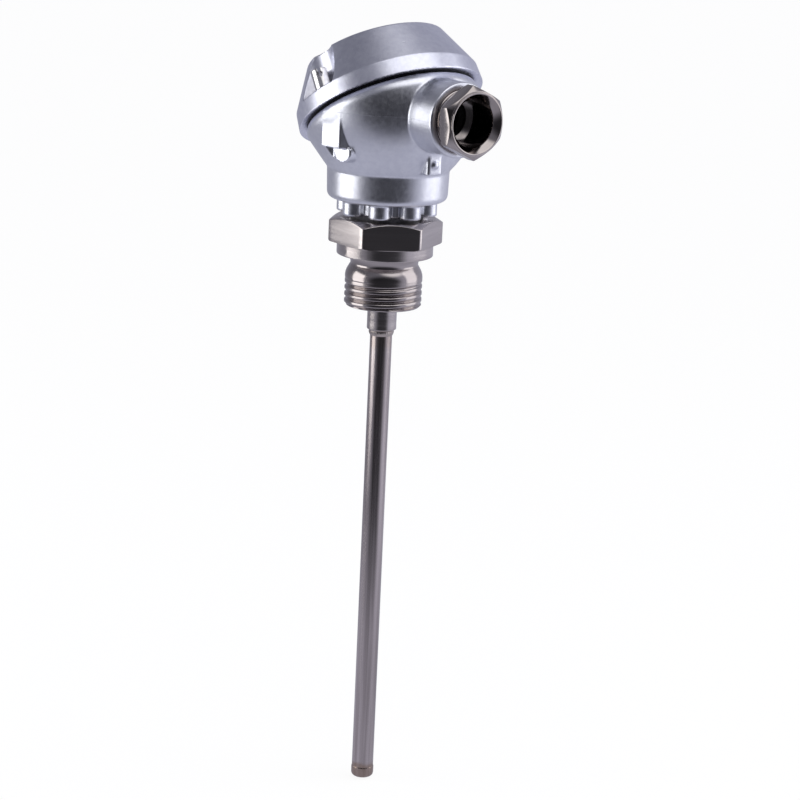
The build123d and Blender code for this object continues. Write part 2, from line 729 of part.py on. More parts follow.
def make_block_screws():
    """Two screws that hold the terminal block on its pillars."""
    seat = block_top - BLOCK_SCREW_HEAD_HEIGHT
    screw = cheese_screw(
        BLOCK_SCREW_D,
        seat - block_bottom + PILLAR_HOLE_DEPTH - SCREW_END_GAP,
        BLOCK_SCREW_HEAD_D,
        BLOCK_SCREW_HEAD_HEIGHT,
        SLOT_WIDTH,
        SLOT_DEPTH,
    )
    return Compound([
        Pos(0, side * block_screw_r, seat) * Rot(0, 0, BLOCK_SCREW_TURN * side) * screw
        for side in (1, -1)
    ])


def make_earth_screw():
    """Earth screw on its pillar beside the cable entry."""
    screw = cheese_screw(
        EARTH_SCREW_D,
        EARTH_SCREW_REACH + EARTH_WASHER_THICKNESS - SCREW_END_GAP,
        EARTH_HEAD_D,
        EARTH_HEAD_HEIGHT,
        SLOT_WIDTH,
        SLOT_DEPTH,
    )
    return Pos(EARTH_X, EARTH_Y, EARTH_PILLAR_TOP + EARTH_WASHER_THICKNESS) * screw


def make_earth_washer():
    """Clamp washer under the earth screw."""
    top = EARTH_PILLAR_TOP + EARTH_WASHER_THICKNESS
    washer = tube(EARTH_WASHER_D, EARTH_SCREW_D + 2 * HOLE_CLEARANCE, EARTH_PILLAR_TOP, top)
    return Pos(EARTH_X, EARTH_Y, 0) * washer


parts = {
    "process_fitting": make_process_fitting(),
    "sheath_tube": make_sheath_tube(),
    "tip_cap": make_tip_cap(),
    "sensor_element": make_sensor_element(),
    "bore_insulators": make_bore_insulators(),
    "sheath_filling": make_sheath_filling(),
    "top_plug": make_top_plug(),
    "lead_wires": make_lead_wires(),
    "lead_sleeves": make_lead_sleeves(),
    "head_body": make_head_body(),
    "neck_seal": make_neck_seal(),
    "head_lid": make_lid(),
    "lid_gasket": make_lid_gasket(),
    "lid_screw_right": make_lid_screw(1),
    "lid_screw_left": make_lid_screw(-1),
    "screw_clip_right": make_screw_clip(1),
    "screw_clip_left": make_screw_clip(-1),
    "gland_screw": make_gland_screw(),
    "gland_seal": make_gland_seal(),
    "gland_washer": make_gland_washer(),
    "terminal_block": make_terminal_block(),
    "terminal_posts": make_terminal_posts(),
    "terminal_screws": make_terminal_screws(),
    "block_screws": make_block_screws(),
    "earth_screw": make_earth_screw(),
    "earth_washer": make_earth_washer(),
}

os.makedirs("parts", exist_ok=True)
for name, shape in parts.items():
    export_step(shape, f"parts/{name}.step")
    print(name, round(shape.volume, 1))
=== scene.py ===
import logging
import math
from dataclasses import dataclass, field
from enum import Enum
from functools import cache
from typing import Callable, ClassVar, Sequence

import bmesh
import bpy
import numpy as np
from mathutils import Matrix


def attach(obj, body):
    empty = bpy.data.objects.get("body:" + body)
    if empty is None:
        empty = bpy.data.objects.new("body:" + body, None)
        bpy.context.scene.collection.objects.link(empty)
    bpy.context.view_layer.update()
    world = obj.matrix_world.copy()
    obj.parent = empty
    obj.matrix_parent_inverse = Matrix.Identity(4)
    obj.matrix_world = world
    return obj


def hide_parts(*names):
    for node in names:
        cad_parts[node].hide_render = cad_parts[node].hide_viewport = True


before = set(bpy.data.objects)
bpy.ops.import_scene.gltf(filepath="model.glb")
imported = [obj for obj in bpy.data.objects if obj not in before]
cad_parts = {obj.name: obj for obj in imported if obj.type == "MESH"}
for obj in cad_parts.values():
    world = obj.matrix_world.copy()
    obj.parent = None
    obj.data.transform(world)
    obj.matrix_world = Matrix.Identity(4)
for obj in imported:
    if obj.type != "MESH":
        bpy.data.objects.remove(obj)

LOG = logging.getLogger("thermometer")
MM = 0.001
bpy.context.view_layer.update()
TURN = 2.0 * math.pi
SEXTANT = math.pi / 3

MERGE_DISTANCE = 1e-6       # metres
PROBE_SHARE = 0.02          # of the grid step: how far the slope of a field is felt for
SLIDE_SHARE = 0.4           # of the grid step: how far a point slides in one pass
SLIDE_PASSES = 3
LEAST_SLOPE = 0.25          # least squared slope of a field
CORNER_STEPS = (0.0, 0.25, 0.5, 0.75, 1.0)
CORNER_SHARE = 0.45         # of a side: how far a softened corner may reach
TURNED_SHARP = 38.0         # degrees between faces above which an edge stays sharp
CAST_SHARP = 60.0

Array = np.ndarray
Socket = bpy.types.NodeSocket
Mesh = bpy.types.Mesh
Piece = bpy.types.Object
Pair = tuple[float, float]
Triple = tuple[float, float, float]
Colour = Triple
Field = Callable[[Array, Array, Array], Array]
Placing = Callable[[Array], Array]


class Body(Enum):
    """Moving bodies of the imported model."""

    BASE = "base"
    LID = "lid"
    SCREW_RIGHT = "screw_right"
    SCREW_LEFT = "screw_left"
    PRESSURE_SCREW = "pressure_screw"


class Side(Enum):
    """The two lid screws, seen along +X."""

    RIGHT = 1
    LEFT = -1


@dataclass(frozen=True)
class TiltedFrame:
    """The lid's own frame: its axis leans in the plane of symmetry.

    Attributes:
        tilt: lean of the axis from +Z towards -X, in degrees.
        axis_x: where the axis crosses Z = 0, in mm.
    """

    tilt: float = 31.5
    axis_x: float = 24.4

    def to_object(self, points: Array) -> Array:
        """Carry rows of (u, v, h) in the lid's frame to rows of (x, y, z)."""
        lean = math.radians(self.tilt)
        u, v, h = points[..., 0], points[..., 1], points[..., 2]
        x = self.axis_x + u * math.cos(lean) - h * math.sin(lean)
        z = u * math.sin(lean) + h * math.cos(lean)
        return np.stack([x, v, z], axis=-1)

    def to_lid(self, x: Array, z: Array) -> tuple[Array, Array]:
        """Give the lid-frame (u, h) of points given by x and z."""
        lean = math.radians(self.tilt)
        u = (x - self.axis_x) * math.cos(lean) + z * math.sin(lean)
        h = z * math.cos(lean) - (x - self.axis_x) * math.sin(lean)
        return u, h


LID_FRAME = TiltedFrame()


# Fields: signed distances in mm, below zero inside the metal


def join(a: Array, b: Array, blend: float) -> Array:
    """Union of two fields, with a fillet about as wide as the blend between them."""
    near = np.maximum(blend - np.abs(a - b), 0.0)
    return np.minimum(a, b) - near * near / (4.0 * blend)


def common(a: Array, b: Array, blend: float) -> Array:
    """Common part of two fields, its edge rounded about as wide as the blend."""
    near = np.maximum(blend - np.abs(a - b), 0.0)
    return np.maximum(a, b) + near * near / (4.0 * blend)


def cut(a: Array, b: Array, blend: float) -> Array:
    """The first field without the second, its edge rounded about as wide as the blend."""
    return common(a, -b, blend)


def span(t: Array, low: float, high: float) -> Array:
    """Distance from the slab between two values of one coordinate."""
    return np.abs(t - (low + high) / 2.0) - (high - low) / 2.0


def disc(a: Array, b: Array, radius: float) -> Array:
    """Distance from an endless cylinder whose axis is at a = b = 0."""
    return np.sqrt(a * a + b * b) - radius


def slope_side(r: Array, h: Array, low: Pair, high: Pair) -> Array:
    """Distance outside the cone through two (radius, height) points."""
    lean = (high[0] - low[0]) / (high[1] - low[1])
    return (r - (low[0] + lean * (h - low[1]))) / math.hypot(1.0, lean)


def upright(x: Array, side: Array, plane: Triple) -> Array:
    """Distance in front of an upright plane.

    The plane is (x, side, facing): a place on it, and the angle of its face from +X outwards in degrees.
    """
    turn = math.radians(plane[2])
    return (x - plane[0]) * math.cos(turn) + (side - plane[1]) * math.sin(turn)


CELL_EDGES = [
    (np.array(start), axis)
    for axis in range(3)
    for start in np.ndindex(2, 2, 2)
    if start[axis] == 0
]


def net_points(values: Array, low: Array, step: float) -> tuple[Array, Array]:
    """Place one point in each grid cell that the surface crosses.

    The point is the mean of the places where the cell's edges cross zero.

    Args:
        values: field on the grid.
        low: the grid's lowest corner in mm.
        step: grid spacing in mm.

    Returns:
        The points, and the number of the point in each cell, or -1.
    """
    inside = values < 0.0
    count = np.zeros(tuple(n - 1 for n in values.shape), np.int8)
    for corner in np.ndindex(2, 2, 2):
        count += inside[tuple(slice(c, n - 1 + c) for c, n in zip(corner, values.shape))]
    crossed = (count > 0) & (count < 8)
    numbers = np.full(crossed.shape, -1, np.int64)
    numbers[crossed] = np.arange(int(crossed.sum()))
    cells = np.argwhere(crossed)
    total = np.zeros((len(cells), 3))
    hits = np.zeros(len(cells))
    for start, axis in CELL_EDGES:
        first = cells + start
        second = first.copy()
        second[:, axis] += 1
        a = values[tuple(first.T)]
        b = values[tuple(second.T)]
        cross = (a < 0.0) != (b < 0.0)
        share = np.where(cross, a / np.where(cross, a - b, 1.0), 0.0)
        place = first.astype(float)
        place[:, axis] += share
        total += np.where(cross[:, None], place, 0.0)
        hits += cross
    return low + step * total / hits[:, None], numbers


def net_faces(values: Array, numbers: Array) -> Array:
    """Join the points of the four cells round each crossed grid edge into an outward quad."""
    inside = values < 0.0
    quads = []
    for axis in range(3):
        one, two = (axis + 1) % 3, (axis + 2) % 3
        first = [slice(None)] * 3
        second = [slice(None)] * 3
        first[axis], second[axis] = slice(0, -1), slice(1, None)
        for other in (one, two):
            first[other] = second[other] = slice(1, -1)
        a, b = inside[tuple(first)], inside[tuple(second)]
        places = np.argwhere(a != b)
        leaving = a[tuple(places.T)]
        base = places.copy()
        base[:, [one, two]] += 1
        corners = []
        for back_one, back_two in ((0, 0), (1, 0), (1, 1), (0, 1)):
            cell = base.copy()
            cell[:, one] -= back_one
            cell[:, two] -= back_two
            corners.append(numbers[tuple(cell.T)])
        quad = np.stack(corners, axis=1)
        quads.append(np.where(leaving[:, None], quad, quad[:, ::-1]))
    return np.concatenate(quads)


def surface_of(shape: Field, low: Triple, high: Triple, step: float) -> tuple[Array, Array]:
    """Turn a field into an outward quad mesh whose points lie on the zero surface.

    Castings and slotted heads have filleted joins that no single grid of two parameters follows, so
    the grid's crossing points are joined into quads and then slid along the field's slope onto it.

    Args:
        shape: the field, called with x, y and z in mm.
        low: lowest corner of the box that holds the shape.
        high: highest corner of that box.
        step: grid spacing in mm.

    Returns:
        Points in mm and quads.
    """
    axes = [np.arange(a, b + step, step) for a, b in zip(low, high)]
    x, y, z = axes[0][:, None, None], axes[1][None, :, None], axes[2][None, None, :]
    values = np.broadcast_to(shape(x, y, z), tuple(len(a) for a in axes)).copy()
    points, numbers = net_points(values, np.array(low, float), step)
    quads = net_faces(values, numbers)
    probe = PROBE_SHARE * step
    reach = SLIDE_SHARE * step
    for _ in range(SLIDE_PASSES):
        slopes = [
            (shape(*(points + probe * axis).T) - shape(*(points - probe * axis).T)) / (2.0 * probe)
            for axis in np.eye(3)
        ]
        slope = np.stack(slopes, axis=1)
        steepness = np.maximum((slope**2).sum(axis=1, keepdims=True), LEAST_SLOPE)
        move = shape(*points.T)[:, None] * slope / steepness
        points = points - np.clip(move, -reach, reach)
    return points, quads


# Lathe work: rings of radii and heights round an axis


@dataclass
class Lathe:
    """A closed outline carried round an axis, ring by ring.

    Attributes:
        angles: places of the columns round the axis, from 0 to a full turn, in radians.
        rings: radius and height of each ring at each angle, and how far its corner is rounded.
    """

    angles: Array
    rings: list[tuple[Array, float]] = field(default_factory=list)

    def ring(self, radius: Array | float, height: Array | float, soften: float = 0.0) -> None:
        """Add one ring; radius and height in mm, a number or one value an angle."""
        row = np.stack(np.broadcast_arrays(radius, height, self.angles)[:2], axis=1).astype(float)
        self.rings.append((row, soften))

    def outline(self, *rings: tuple) -> None:
        """Add a ring for each (radius, height) or (radius, height, soften)."""
        for ring in rings:
            self.ring(*ring)

    def grid(self) -> Array:
        """Work out the rows of points, each softened corner as a parabola between its neighbours.

        Returns:
            Array of rows by columns by (x, y, z) in mm, about Z.
        """
        rows = []
        count = len(self.rings)
        for number, (ring, soften) in enumerate(self.rings):
            if soften <= 0.0:
                rows.append(ring)
                continue
            sides = []
            for other in (self.rings[number - 1][0], self.rings[(number + 1) % count][0]):
                way = other - ring
                length = np.maximum(np.linalg.norm(way, axis=1, keepdims=True), 1e-9)
                sides.append(ring + way / length * np.minimum(soften, CORNER_SHARE * length))
            for t in CORNER_STEPS:
                rows.append((1 - t) ** 2 * sides[0] + 2 * t * (1 - t) * ring + t * t * sides[1])
        stack = np.stack(rows)
        radius, height = stack[..., 0], stack[..., 1]
        return np.stack([radius * np.cos(self.angles), radius * np.sin(self.angles), height], axis=-1)


@dataclass(frozen=True)
class Hexagon:
    """Hexagon with rounded corners, in polar form.

    Attributes:
        across_flats: width across flats in mm.
        corner_round: radius of the corner's round in mm.
        turn: angle of the first corner in degrees.
    """

    across_flats: float
    corner_round: float
    turn: float
    flat_columns: int = 14
    corner_columns: int = 6

    def round_centre(self) -> float:
        """Distance from the axis to the centre of a corner's round."""
        return (self.across_flats / 2 - self.corner_round) / math.cos(SEXTANT / 2)

    def tangent_angle(self) -> float:
        """Angle from a corner to where its round meets the flat."""
        rise = self.corner_round * math.sin(SEXTANT / 2)
        return math.atan2(rise, self.round_centre() + self.corner_round * math.cos(SEXTANT / 2))

    def angles(self) -> Array:
        """Columns over one turn, close together at the corners."""
        edge = self.tangent_angle()
        corner = np.linspace(-edge, edge, self.corner_columns + 1)[:-1]
        flat = np.linspace(edge, SEXTANT - edge, self.flat_columns + 1)[:-1]
        sextant = np.concatenate([corner, flat])
        turns = [sextant + number * math.pi / 3 for number in range(6)]
        return np.concatenate(turns + [[TURN - edge]]) + math.radians(self.turn)

    def radius(self, angles: Array) -> Array:
        """Distance of the outline from the axis at each angle, in mm."""
        away = np.mod(angles - math.radians(self.turn) + SEXTANT / 2, SEXTANT) - SEXTANT / 2
        centre = self.round_centre()
        chord = np.maximum(self.corner_round**2 - (centre * np.sin(away)) ** 2, 0.0)
        arc = centre * np.cos(away) + np.sqrt(chord)
        flat = self.across_flats / 2 / np.cos(SEXTANT / 2 - np.abs(away))
        return np.where(np.abs(away) < self.tangent_angle(), arc, flat)


@dataclass(frozen=True)
class Helix:
    """Screw thread with rounded crests and roots.

    Attributes:
        crest_radius: radius over the crests in mm.
        depth: depth of the thread in mm.
        pitch: pitch in mm.
        start: where the first groove lies above the lower end, as a share of the pitch.
        run_out: heights in mm between which the grooves fade to nothing.
        crest: share of the half pitch that is crest.
        flank: share of the half pitch that is flank.
        steps: rings in one pitch.
    """

    crest_radius: float
    depth: float
    pitch: float
    start: float = 0.0
    run_out: Pair = (900.0, 901.0)
    crest: float = 0.34
    flank: float = 0.6
    steps: int = 14

    def rings(self, lathe: Lathe, bottom: float, top: float, limit: Placing) -> None:
        """Add rings that climb one pitch a turn, so that crests and roots follow the grid.

        Args:
            lathe: the outline to add to; its angles cover one turn.
            bottom: lower end of the thread in mm.
            top: upper end of the thread in mm.
            limit: greatest radius allowed at a height, for the chamfer and the run-out.
        """
        climb = self.pitch * (lathe.angles - lathe.angles[0]) / TURN
        count = int(math.ceil((top - bottom) / self.pitch) + 1) * self.steps
        for number in range(count + 1):
            level = bottom + (number / self.steps - 1.0) * self.pitch
            height = np.clip(level + climb, bottom, top)
            phase = (height - climb - bottom) / self.pitch - self.start
            wave = np.abs(np.mod(phase, 1.0) * 2.0 - 1.0)
            form = np.clip((wave - self.crest) / self.flank, 0.0, 1.0)
            form = form * form * (3.0 - 2.0 * form) * 0.5 + form * 0.5
            radius = self.crest_radius - self.depth * form * np.interp(height, self.run_out, (1.0, 0.0))
            lathe.ring(np.minimum(radius, limit(height)), height)


# Meshes and pieces


def add_object(name: str, data: bpy.types.ID) -> Piece:
    """Put a mesh, lamp or camera in the scene."""
    made = bpy.data.objects.new(name, data)
    bpy.context.scene.collection.objects.link(made)
    return made


def add_piece(mesh: Mesh, body: Body, node: str) -> Piece:
    """Put a mesh in the scene as a piece that rides on a body and stands for a CAD node."""
    piece = add_object(mesh.name, mesh)
    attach(piece, body.value)
    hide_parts(node)
    LOG.info("%s: %d faces", mesh.name, len(mesh.polygons))
    return piece


def mesh_of(name: str, points: Array, faces: Array, sharp: float, mend: bool = False) -> Mesh:
    """Make a smooth-shaded mesh.

    Args:
        name: its name.
        points: rows of (x, y, z) in mm.
        faces: rows of point numbers.
        sharp: angle in degrees above which an edge stays sharp.
        mend: whether doubles are merged and normals turned outwards.

    Returns:
        The mesh in metres.
    """
    mesh = bpy.data.meshes.new(name)
    mesh.from_pydata((points * MM).tolist(), [], faces.tolist())
    if mend:
        work = bmesh.new()
        work.from_mesh(mesh)
        bmesh.ops.remove_doubles(work, verts=work.verts, dist=MERGE_DISTANCE)
        bmesh.ops.recalc_face_normals(work, faces=work.faces)
        work.to_mesh(mesh)
        work.free()
    mesh.shade_smooth()
    mesh.set_sharp_from_angle(angle=math.radians(sharp))
    return mesh


def lathe_mesh(name: str, lathe: Lathe, place: Placing | None = None) -> Mesh:
    """Make a mesh from a closed outline; place carries its points from about Z to their place."""
    grid = lathe.grid()
    rows, columns = grid.shape[:2]
    number = np.arange(rows * columns).reshape(rows, columns)
    number = np.concatenate([number, number[:1]])
    quads = [number[:-1, :-1], number[:-1, 1:], number[1:, 1:], number[1:, :-1]]
    faces = np.stack([q.ravel() for q in quads], axis=1)
    points = grid.reshape(-1, 3)
    return mesh_of(name, place(points) if place else points, faces, TURNED_SHARP, True)


# Finishes


class Graph:
    """Helper that adds and links shader nodes."""

    def __init__(self, tree: bpy.types.NodeTree) -> None:
        """Start from an emptied tree of nodes."""
        self.tree = tree
        self.tree.nodes.clear()

    def node(self, kind: str, feeds: dict | None = None, **settings: object) -> bpy.types.Node:
        """Add a node.

        Args:
            kind: its type, without the common prefix.
            feeds: a socket or a value for each input that it names.
            settings: its properties.

        Returns:
            The new node.
        """
        made = self.tree.nodes.new("ShaderNode" + kind)
        for key, value in settings.items():
            setattr(made, key, value)
        for key, value in (feeds or {}).items():
            if isinstance(value, Socket):
                self.tree.links.new(value, made.inputs[key])
            else:
                made.inputs[key].default_value = value
        return made

    def coordinates(self, stretch: Triple = (1.0, 1.0, 1.0)) -> Socket:
        """Object coordinates, each axis multiplied by its stretch."""
        source = self.node("TexCoord").outputs["Object"]
        return self.node("Mapping", {"Vector": source, "Scale": stretch}).outputs["Vector"]

    def height(self) -> Socket:
        """Height in the object's coordinates, in metres."""
        source = self.node("TexCoord").outputs["Object"]
        return self.node("SeparateXYZ", {0: source}).outputs["Z"]

    def noise(self, vector: Socket, size: float, detail: float, rough: float = 0.55) -> Socket:
        """Noise whose features are about as large as the size in mm."""
        feeds = {"Vector": vector, "Scale": 1.0 / (size * MM), "Detail": detail, "Roughness": rough}
        return self.node("TexNoise", feeds).outputs["Fac"]

    def remap(self, value: Socket, source: Pair, target: Pair = (0.0, 1.0)) -> Socket:
        """Map a value from one range to another, clamped and smoothed."""
        names = ("Value", "From Min", "From Max", "To Min", "To Max")
        feeds = dict(zip(names, (value, *source, *target)))
        return self.node("MapRange", feeds, interpolation_type="SMOOTHSTEP").outputs["Result"]

    def blend(self, share: Socket, first: Socket | Colour, second: Socket | Colour) -> Socket:
        """Mix two colours by a share of the second."""
        feeds = {"Factor": share}
        for slot, colour in ((6, first), (7, second)):
            feeds[slot] = colour if isinstance(colour, Socket) else (*colour, 1.0)
        return self.node("Mix", feeds, data_type="RGBA").outputs[2]

    def mixed(self, share: Socket, first: Socket, second: Socket) -> Socket:
        """Mix two shaders by a share of the second."""
        return self.node("MixShader", {0: share, 1: first, 2: second}).outputs[0]

    def math(self, operation: str, *values: Socket | float) -> Socket:
        """One step of arithmetic on sockets and numbers."""
        return self.node("Math", dict(enumerate(values)), operation=operation).outputs[0]

    def vector(self, operation: str, *values: Socket | Sequence[float]) -> bpy.types.Node:
        """One step of arithmetic on vectors."""
        return self.node("VectorMath", dict(enumerate(values)), operation=operation)


class SurfaceGraph(Graph):
    """Nodes of one material, with its shader and output in place."""

    def __init__(self, name: str) -> None:
        """Make the material."""
        self.material = bpy.data.materials.new(name)
        self.material.use_nodes = True
        super().__init__(self.material.node_tree)
        self.shader = self.node("BsdfPrincipled")
        self.output = self.node("OutputMaterial", {"Surface": self.shader.outputs[0]})

    def feed(self, node: bpy.types.Node, key: str, value: Socket) -> None:
        """Link a socket to an input of a node that is already there."""
        self.tree.links.new(value, node.inputs[key])


@dataclass(frozen=True)
class Band:
    """A band of colour round the axis at one height.

    Attributes:
        low: lower end in mm.
        high: upper end in mm.
        fade: how far it fades at each end, in mm.
        colour: its colour.
        strength: its share over the plain finish.
    """

    low: float
    high: float
    fade: float
    colour: Colour
    strength: float

    def share(self, graph: Graph, height: Socket) -> Socket:
        """How much of the band shows at a height."""
        rise = graph.remap(height, ((self.low - self.fade) * MM, self.low * MM))
        fall = graph.remap(height, (self.high * MM, (self.high + self.fade) * MM), (1.0, 0.0))
        return graph.math("MULTIPLY", graph.math("MULTIPLY", rise, fall), self.strength)


@dataclass(frozen=True)
class Finish:
    """A surface finish with patches, roughness and relief from noise.

    Attributes:
        name: name of the material.
        light: lighter colour of the patches.
        dark: darker colour of the patches.
        metallic: share of metal.
        roughness: mean roughness.
        swing: how far the roughness strays to each side.
        patch: size of the colour patches in mm.
        grain: size of the grain in mm.
        relief: depth of the grain in mm.
        stretch: how the pattern is squeezed along X, Y and Z.
        bands: heat tints and the like.
        shine: strength of the clear reflection where the piece isn't metal.
        noise_range: where most of the noise lies.
        ragged: size and shift of the waves in the edge of a band, in mm.
    """

    name: str
    light: Colour
    dark: Colour
    metallic: float
    roughness: float
    swing: float
    patch: float
    grain: float
    relief: float
    stretch: Triple = (1.0, 1.0, 1.0)
    bands: tuple[Band, ...] = ()
    shine: float = 0.5
    noise_range: Pair = (0.3, 0.7)
    ragged: Pair = (2.5, 1.6)

    def relief_height(self, graph: Graph, vector: Socket) -> Socket:
        """Height of the surface grain, from 0 to 1."""
        return graph.noise(vector, self.grain, 4.0, 0.6)

    def colour(self, graph: Graph, vector: Socket) -> Socket:
        """Colour of the patches with the bands laid over them."""
        share = graph.remap(graph.noise(vector, self.patch, 4.0), self.noise_range)
        colour = graph.blend(share, self.dark, self.light)
        if self.bands:
            size, reach = self.ragged
            wave = graph.noise(graph.coordinates(), size, 2.0)
            shift = graph.math("MULTIPLY", graph.math("SUBTRACT", wave, 0.5), reach * MM)
            height = graph.math("ADD", graph.height(), shift)
            for band in self.bands:
                colour = graph.blend(band.share(graph, height), colour, band.colour)
        return colour

    @cache
    def build(self) -> bpy.types.Material:
        """Make the material, or give the one already made."""
        graph = SurfaceGraph(self.name)
        vector = graph.coordinates(self.stretch)
        graph.shader.inputs["Metallic"].default_value = self.metallic
        graph.shader.inputs["Specular IOR Level"].default_value = self.shine
        graph.feed(graph.shader, "Base Color", self.colour(graph, vector))
        rough = graph.noise(vector, self.patch * 0.6, 5.0)
        levels = (self.roughness - self.swing, self.roughness + self.swing)
        graph.feed(graph.shader, "Roughness", graph.remap(rough, self.noise_range, levels))
        height = self.relief_height(graph, vector)
        bump = graph.node("Bump", {"Strength": 1.0, "Distance": self.relief * MM, "Height": height})
        graph.feed(graph.shader, "Normal", bump.outputs[0])
        return graph.material


@dataclass(frozen=True)
class CastFinish(Finish):
    """Fine-grained casting with sparse marks and the faint seam of its mould.

    Attributes:
        seam: height of the seam in mm, or None where the piece has none.
        seam_half: half its width in mm.
        seam_rise: how far it stands above the grain.
        marks: size of the cells that hold a mark, in mm.
        mark_edge: where a mark begins to rise and ends, as a share of its cell.
        mark_depth: how far it lies below the grain.
    """

    seam: float | None = None
    seam_half: float = 0.22
    seam_rise: float = 1.2
    marks: float = 7.0
    mark_edge: Pair = (0.03, 0.07)
    mark_depth: float = 1.6

    def relief_height(self, graph: Graph, vector: Socket) -> Socket:
        """Grain, with small scratches and the seam laid over it."""
        grain = graph.noise(vector, self.grain, 4.0, 0.65)
        spots = graph.node("TexVoronoi", {"Scale": 1.0 / (self.marks * MM), "Vector": vector})
        mark = graph.remap(spots.outputs["Distance"], self.mark_edge, (-self.mark_depth, 0.0))
        height = graph.math("ADD", grain, mark)
        if self.seam is not None:
            away = graph.math("ABSOLUTE", graph.math("SUBTRACT", graph.height(), self.seam * MM))
            ridge = graph.remap(away, (0.0, self.seam_half * MM), (self.seam_rise, 0.0))
            height = graph.math("ADD", height, ridge)
        return height


CAST = CastFinish(
    "cast_aluminium", (0.80, 0.81, 0.85), (0.74, 0.75, 0.80), 1.0, 0.33, 0.04, 1.6, 0.22, 0.012, seam=40.3
)
CAST_LID = CastFinish(
    "cast_aluminium_lid", (0.79, 0.80, 0.88), (0.72, 0.73, 0.82), 1.0, 0.33, 0.04, 1.6, 0.22, 0.014
)
TURNED = Finish(
    "turned_steel", (0.61, 0.56, 0.535), (0.50, 0.455, 0.435), 1.0, 0.19, 0.06, 2.2, 0.12, 0.004,
    (0.05, 0.05, 1.0),
    (
        Band(-22.4, -21.0, 0.6, (0.42, 0.33, 0.24), 0.3),
        Band(-14.0, -0.2, 0.3, (0.40, 0.36, 0.35), 0.7),
    ),
)
DRAWN = Finish(
    "drawn_tube", (0.58, 0.52, 0.505), (0.39, 0.345, 0.335), 1.0, 0.22, 0.07, 0.9, 0.25, 0.004,
    (1.0, 1.0, 0.02),
    (
        Band(-150.5, -146.4, 1.4, (0.30, 0.20, 0.13), 0.6),
        Band(-24.5, -22.0, 2.0, (0.40, 0.31, 0.24), 0.3),
    ),
)
NICKEL = Finish(
    "nickel_plate", (0.47, 0.43, 0.41), (0.38, 0.34, 0.32), 1.0, 0.09, 0.03, 3.0, 0.3, 0.002,
    (1.0, 0.06, 0.06),
)
BRIGHT = Finish("bright_zinc", (0.76, 0.75, 0.74), (0.66, 0.64, 0.62), 1.0, 0.12, 0.04, 1.2, 0.1, 0.003)
RUBBER = Finish(
    "black_rubber", (0.007, 0.007, 0.009), (0.004, 0.004, 0.005), 0.0, 0.55, 0.08, 1.0, 0.12, 0.01, shine=0.15
)
FIBRE = Finish("seal_fibre", (0.16, 0.16, 0.17), (0.09, 0.09, 0.10), 0.0, 0.7, 0.1, 0.8, 0.15, 0.02)
CERAMIC = Finish("ceramic", (0.90, 0.88, 0.83), (0.84, 0.82, 0.76), 0.0, 0.32, 0.06, 2.0, 0.2, 0.006)
MAGNESIA = Finish("magnesia", (0.90, 0.90, 0.88), (0.78, 0.78, 0.76), 0.0, 0.9, 0.05, 0.6, 0.12, 0.02)
RESIN = Finish("resin", (0.20, 0.14, 0.09), (0.13, 0.09, 0.06), 0.0, 0.35, 0.08, 1.2, 0.3, 0.01)
WIRE = Finish("nickel_wire", (0.68, 0.66, 0.62), (0.58, 0.56, 0.52), 1.0, 0.25, 0.06, 0.8, 0.1, 0.002)
SLEEVE = Finish("glass_sleeve", (0.86, 0.84, 0.78), (0.66, 0.64, 0.58), 0.0, 0.85, 0.08, 0.3, 0.18, 0.05)
BRASS = Finish("terminal_brass", (0.76, 0.60, 0.30), (0.66, 0.50, 0.24), 1.0, 0.22, 0.06, 0.9, 0.1, 0.003)


# Sub-assemblies, all sizes in mm and degrees


class Part:
    """A sub-assembly whose pieces share one finish."""

    finish: ClassVar[Finish]

    def dress(self, pieces: Sequence[Piece]) -> None:
        """Give every piece the finish."""
        for piece in pieces:
            piece.data.materials.append(self.finish.build())


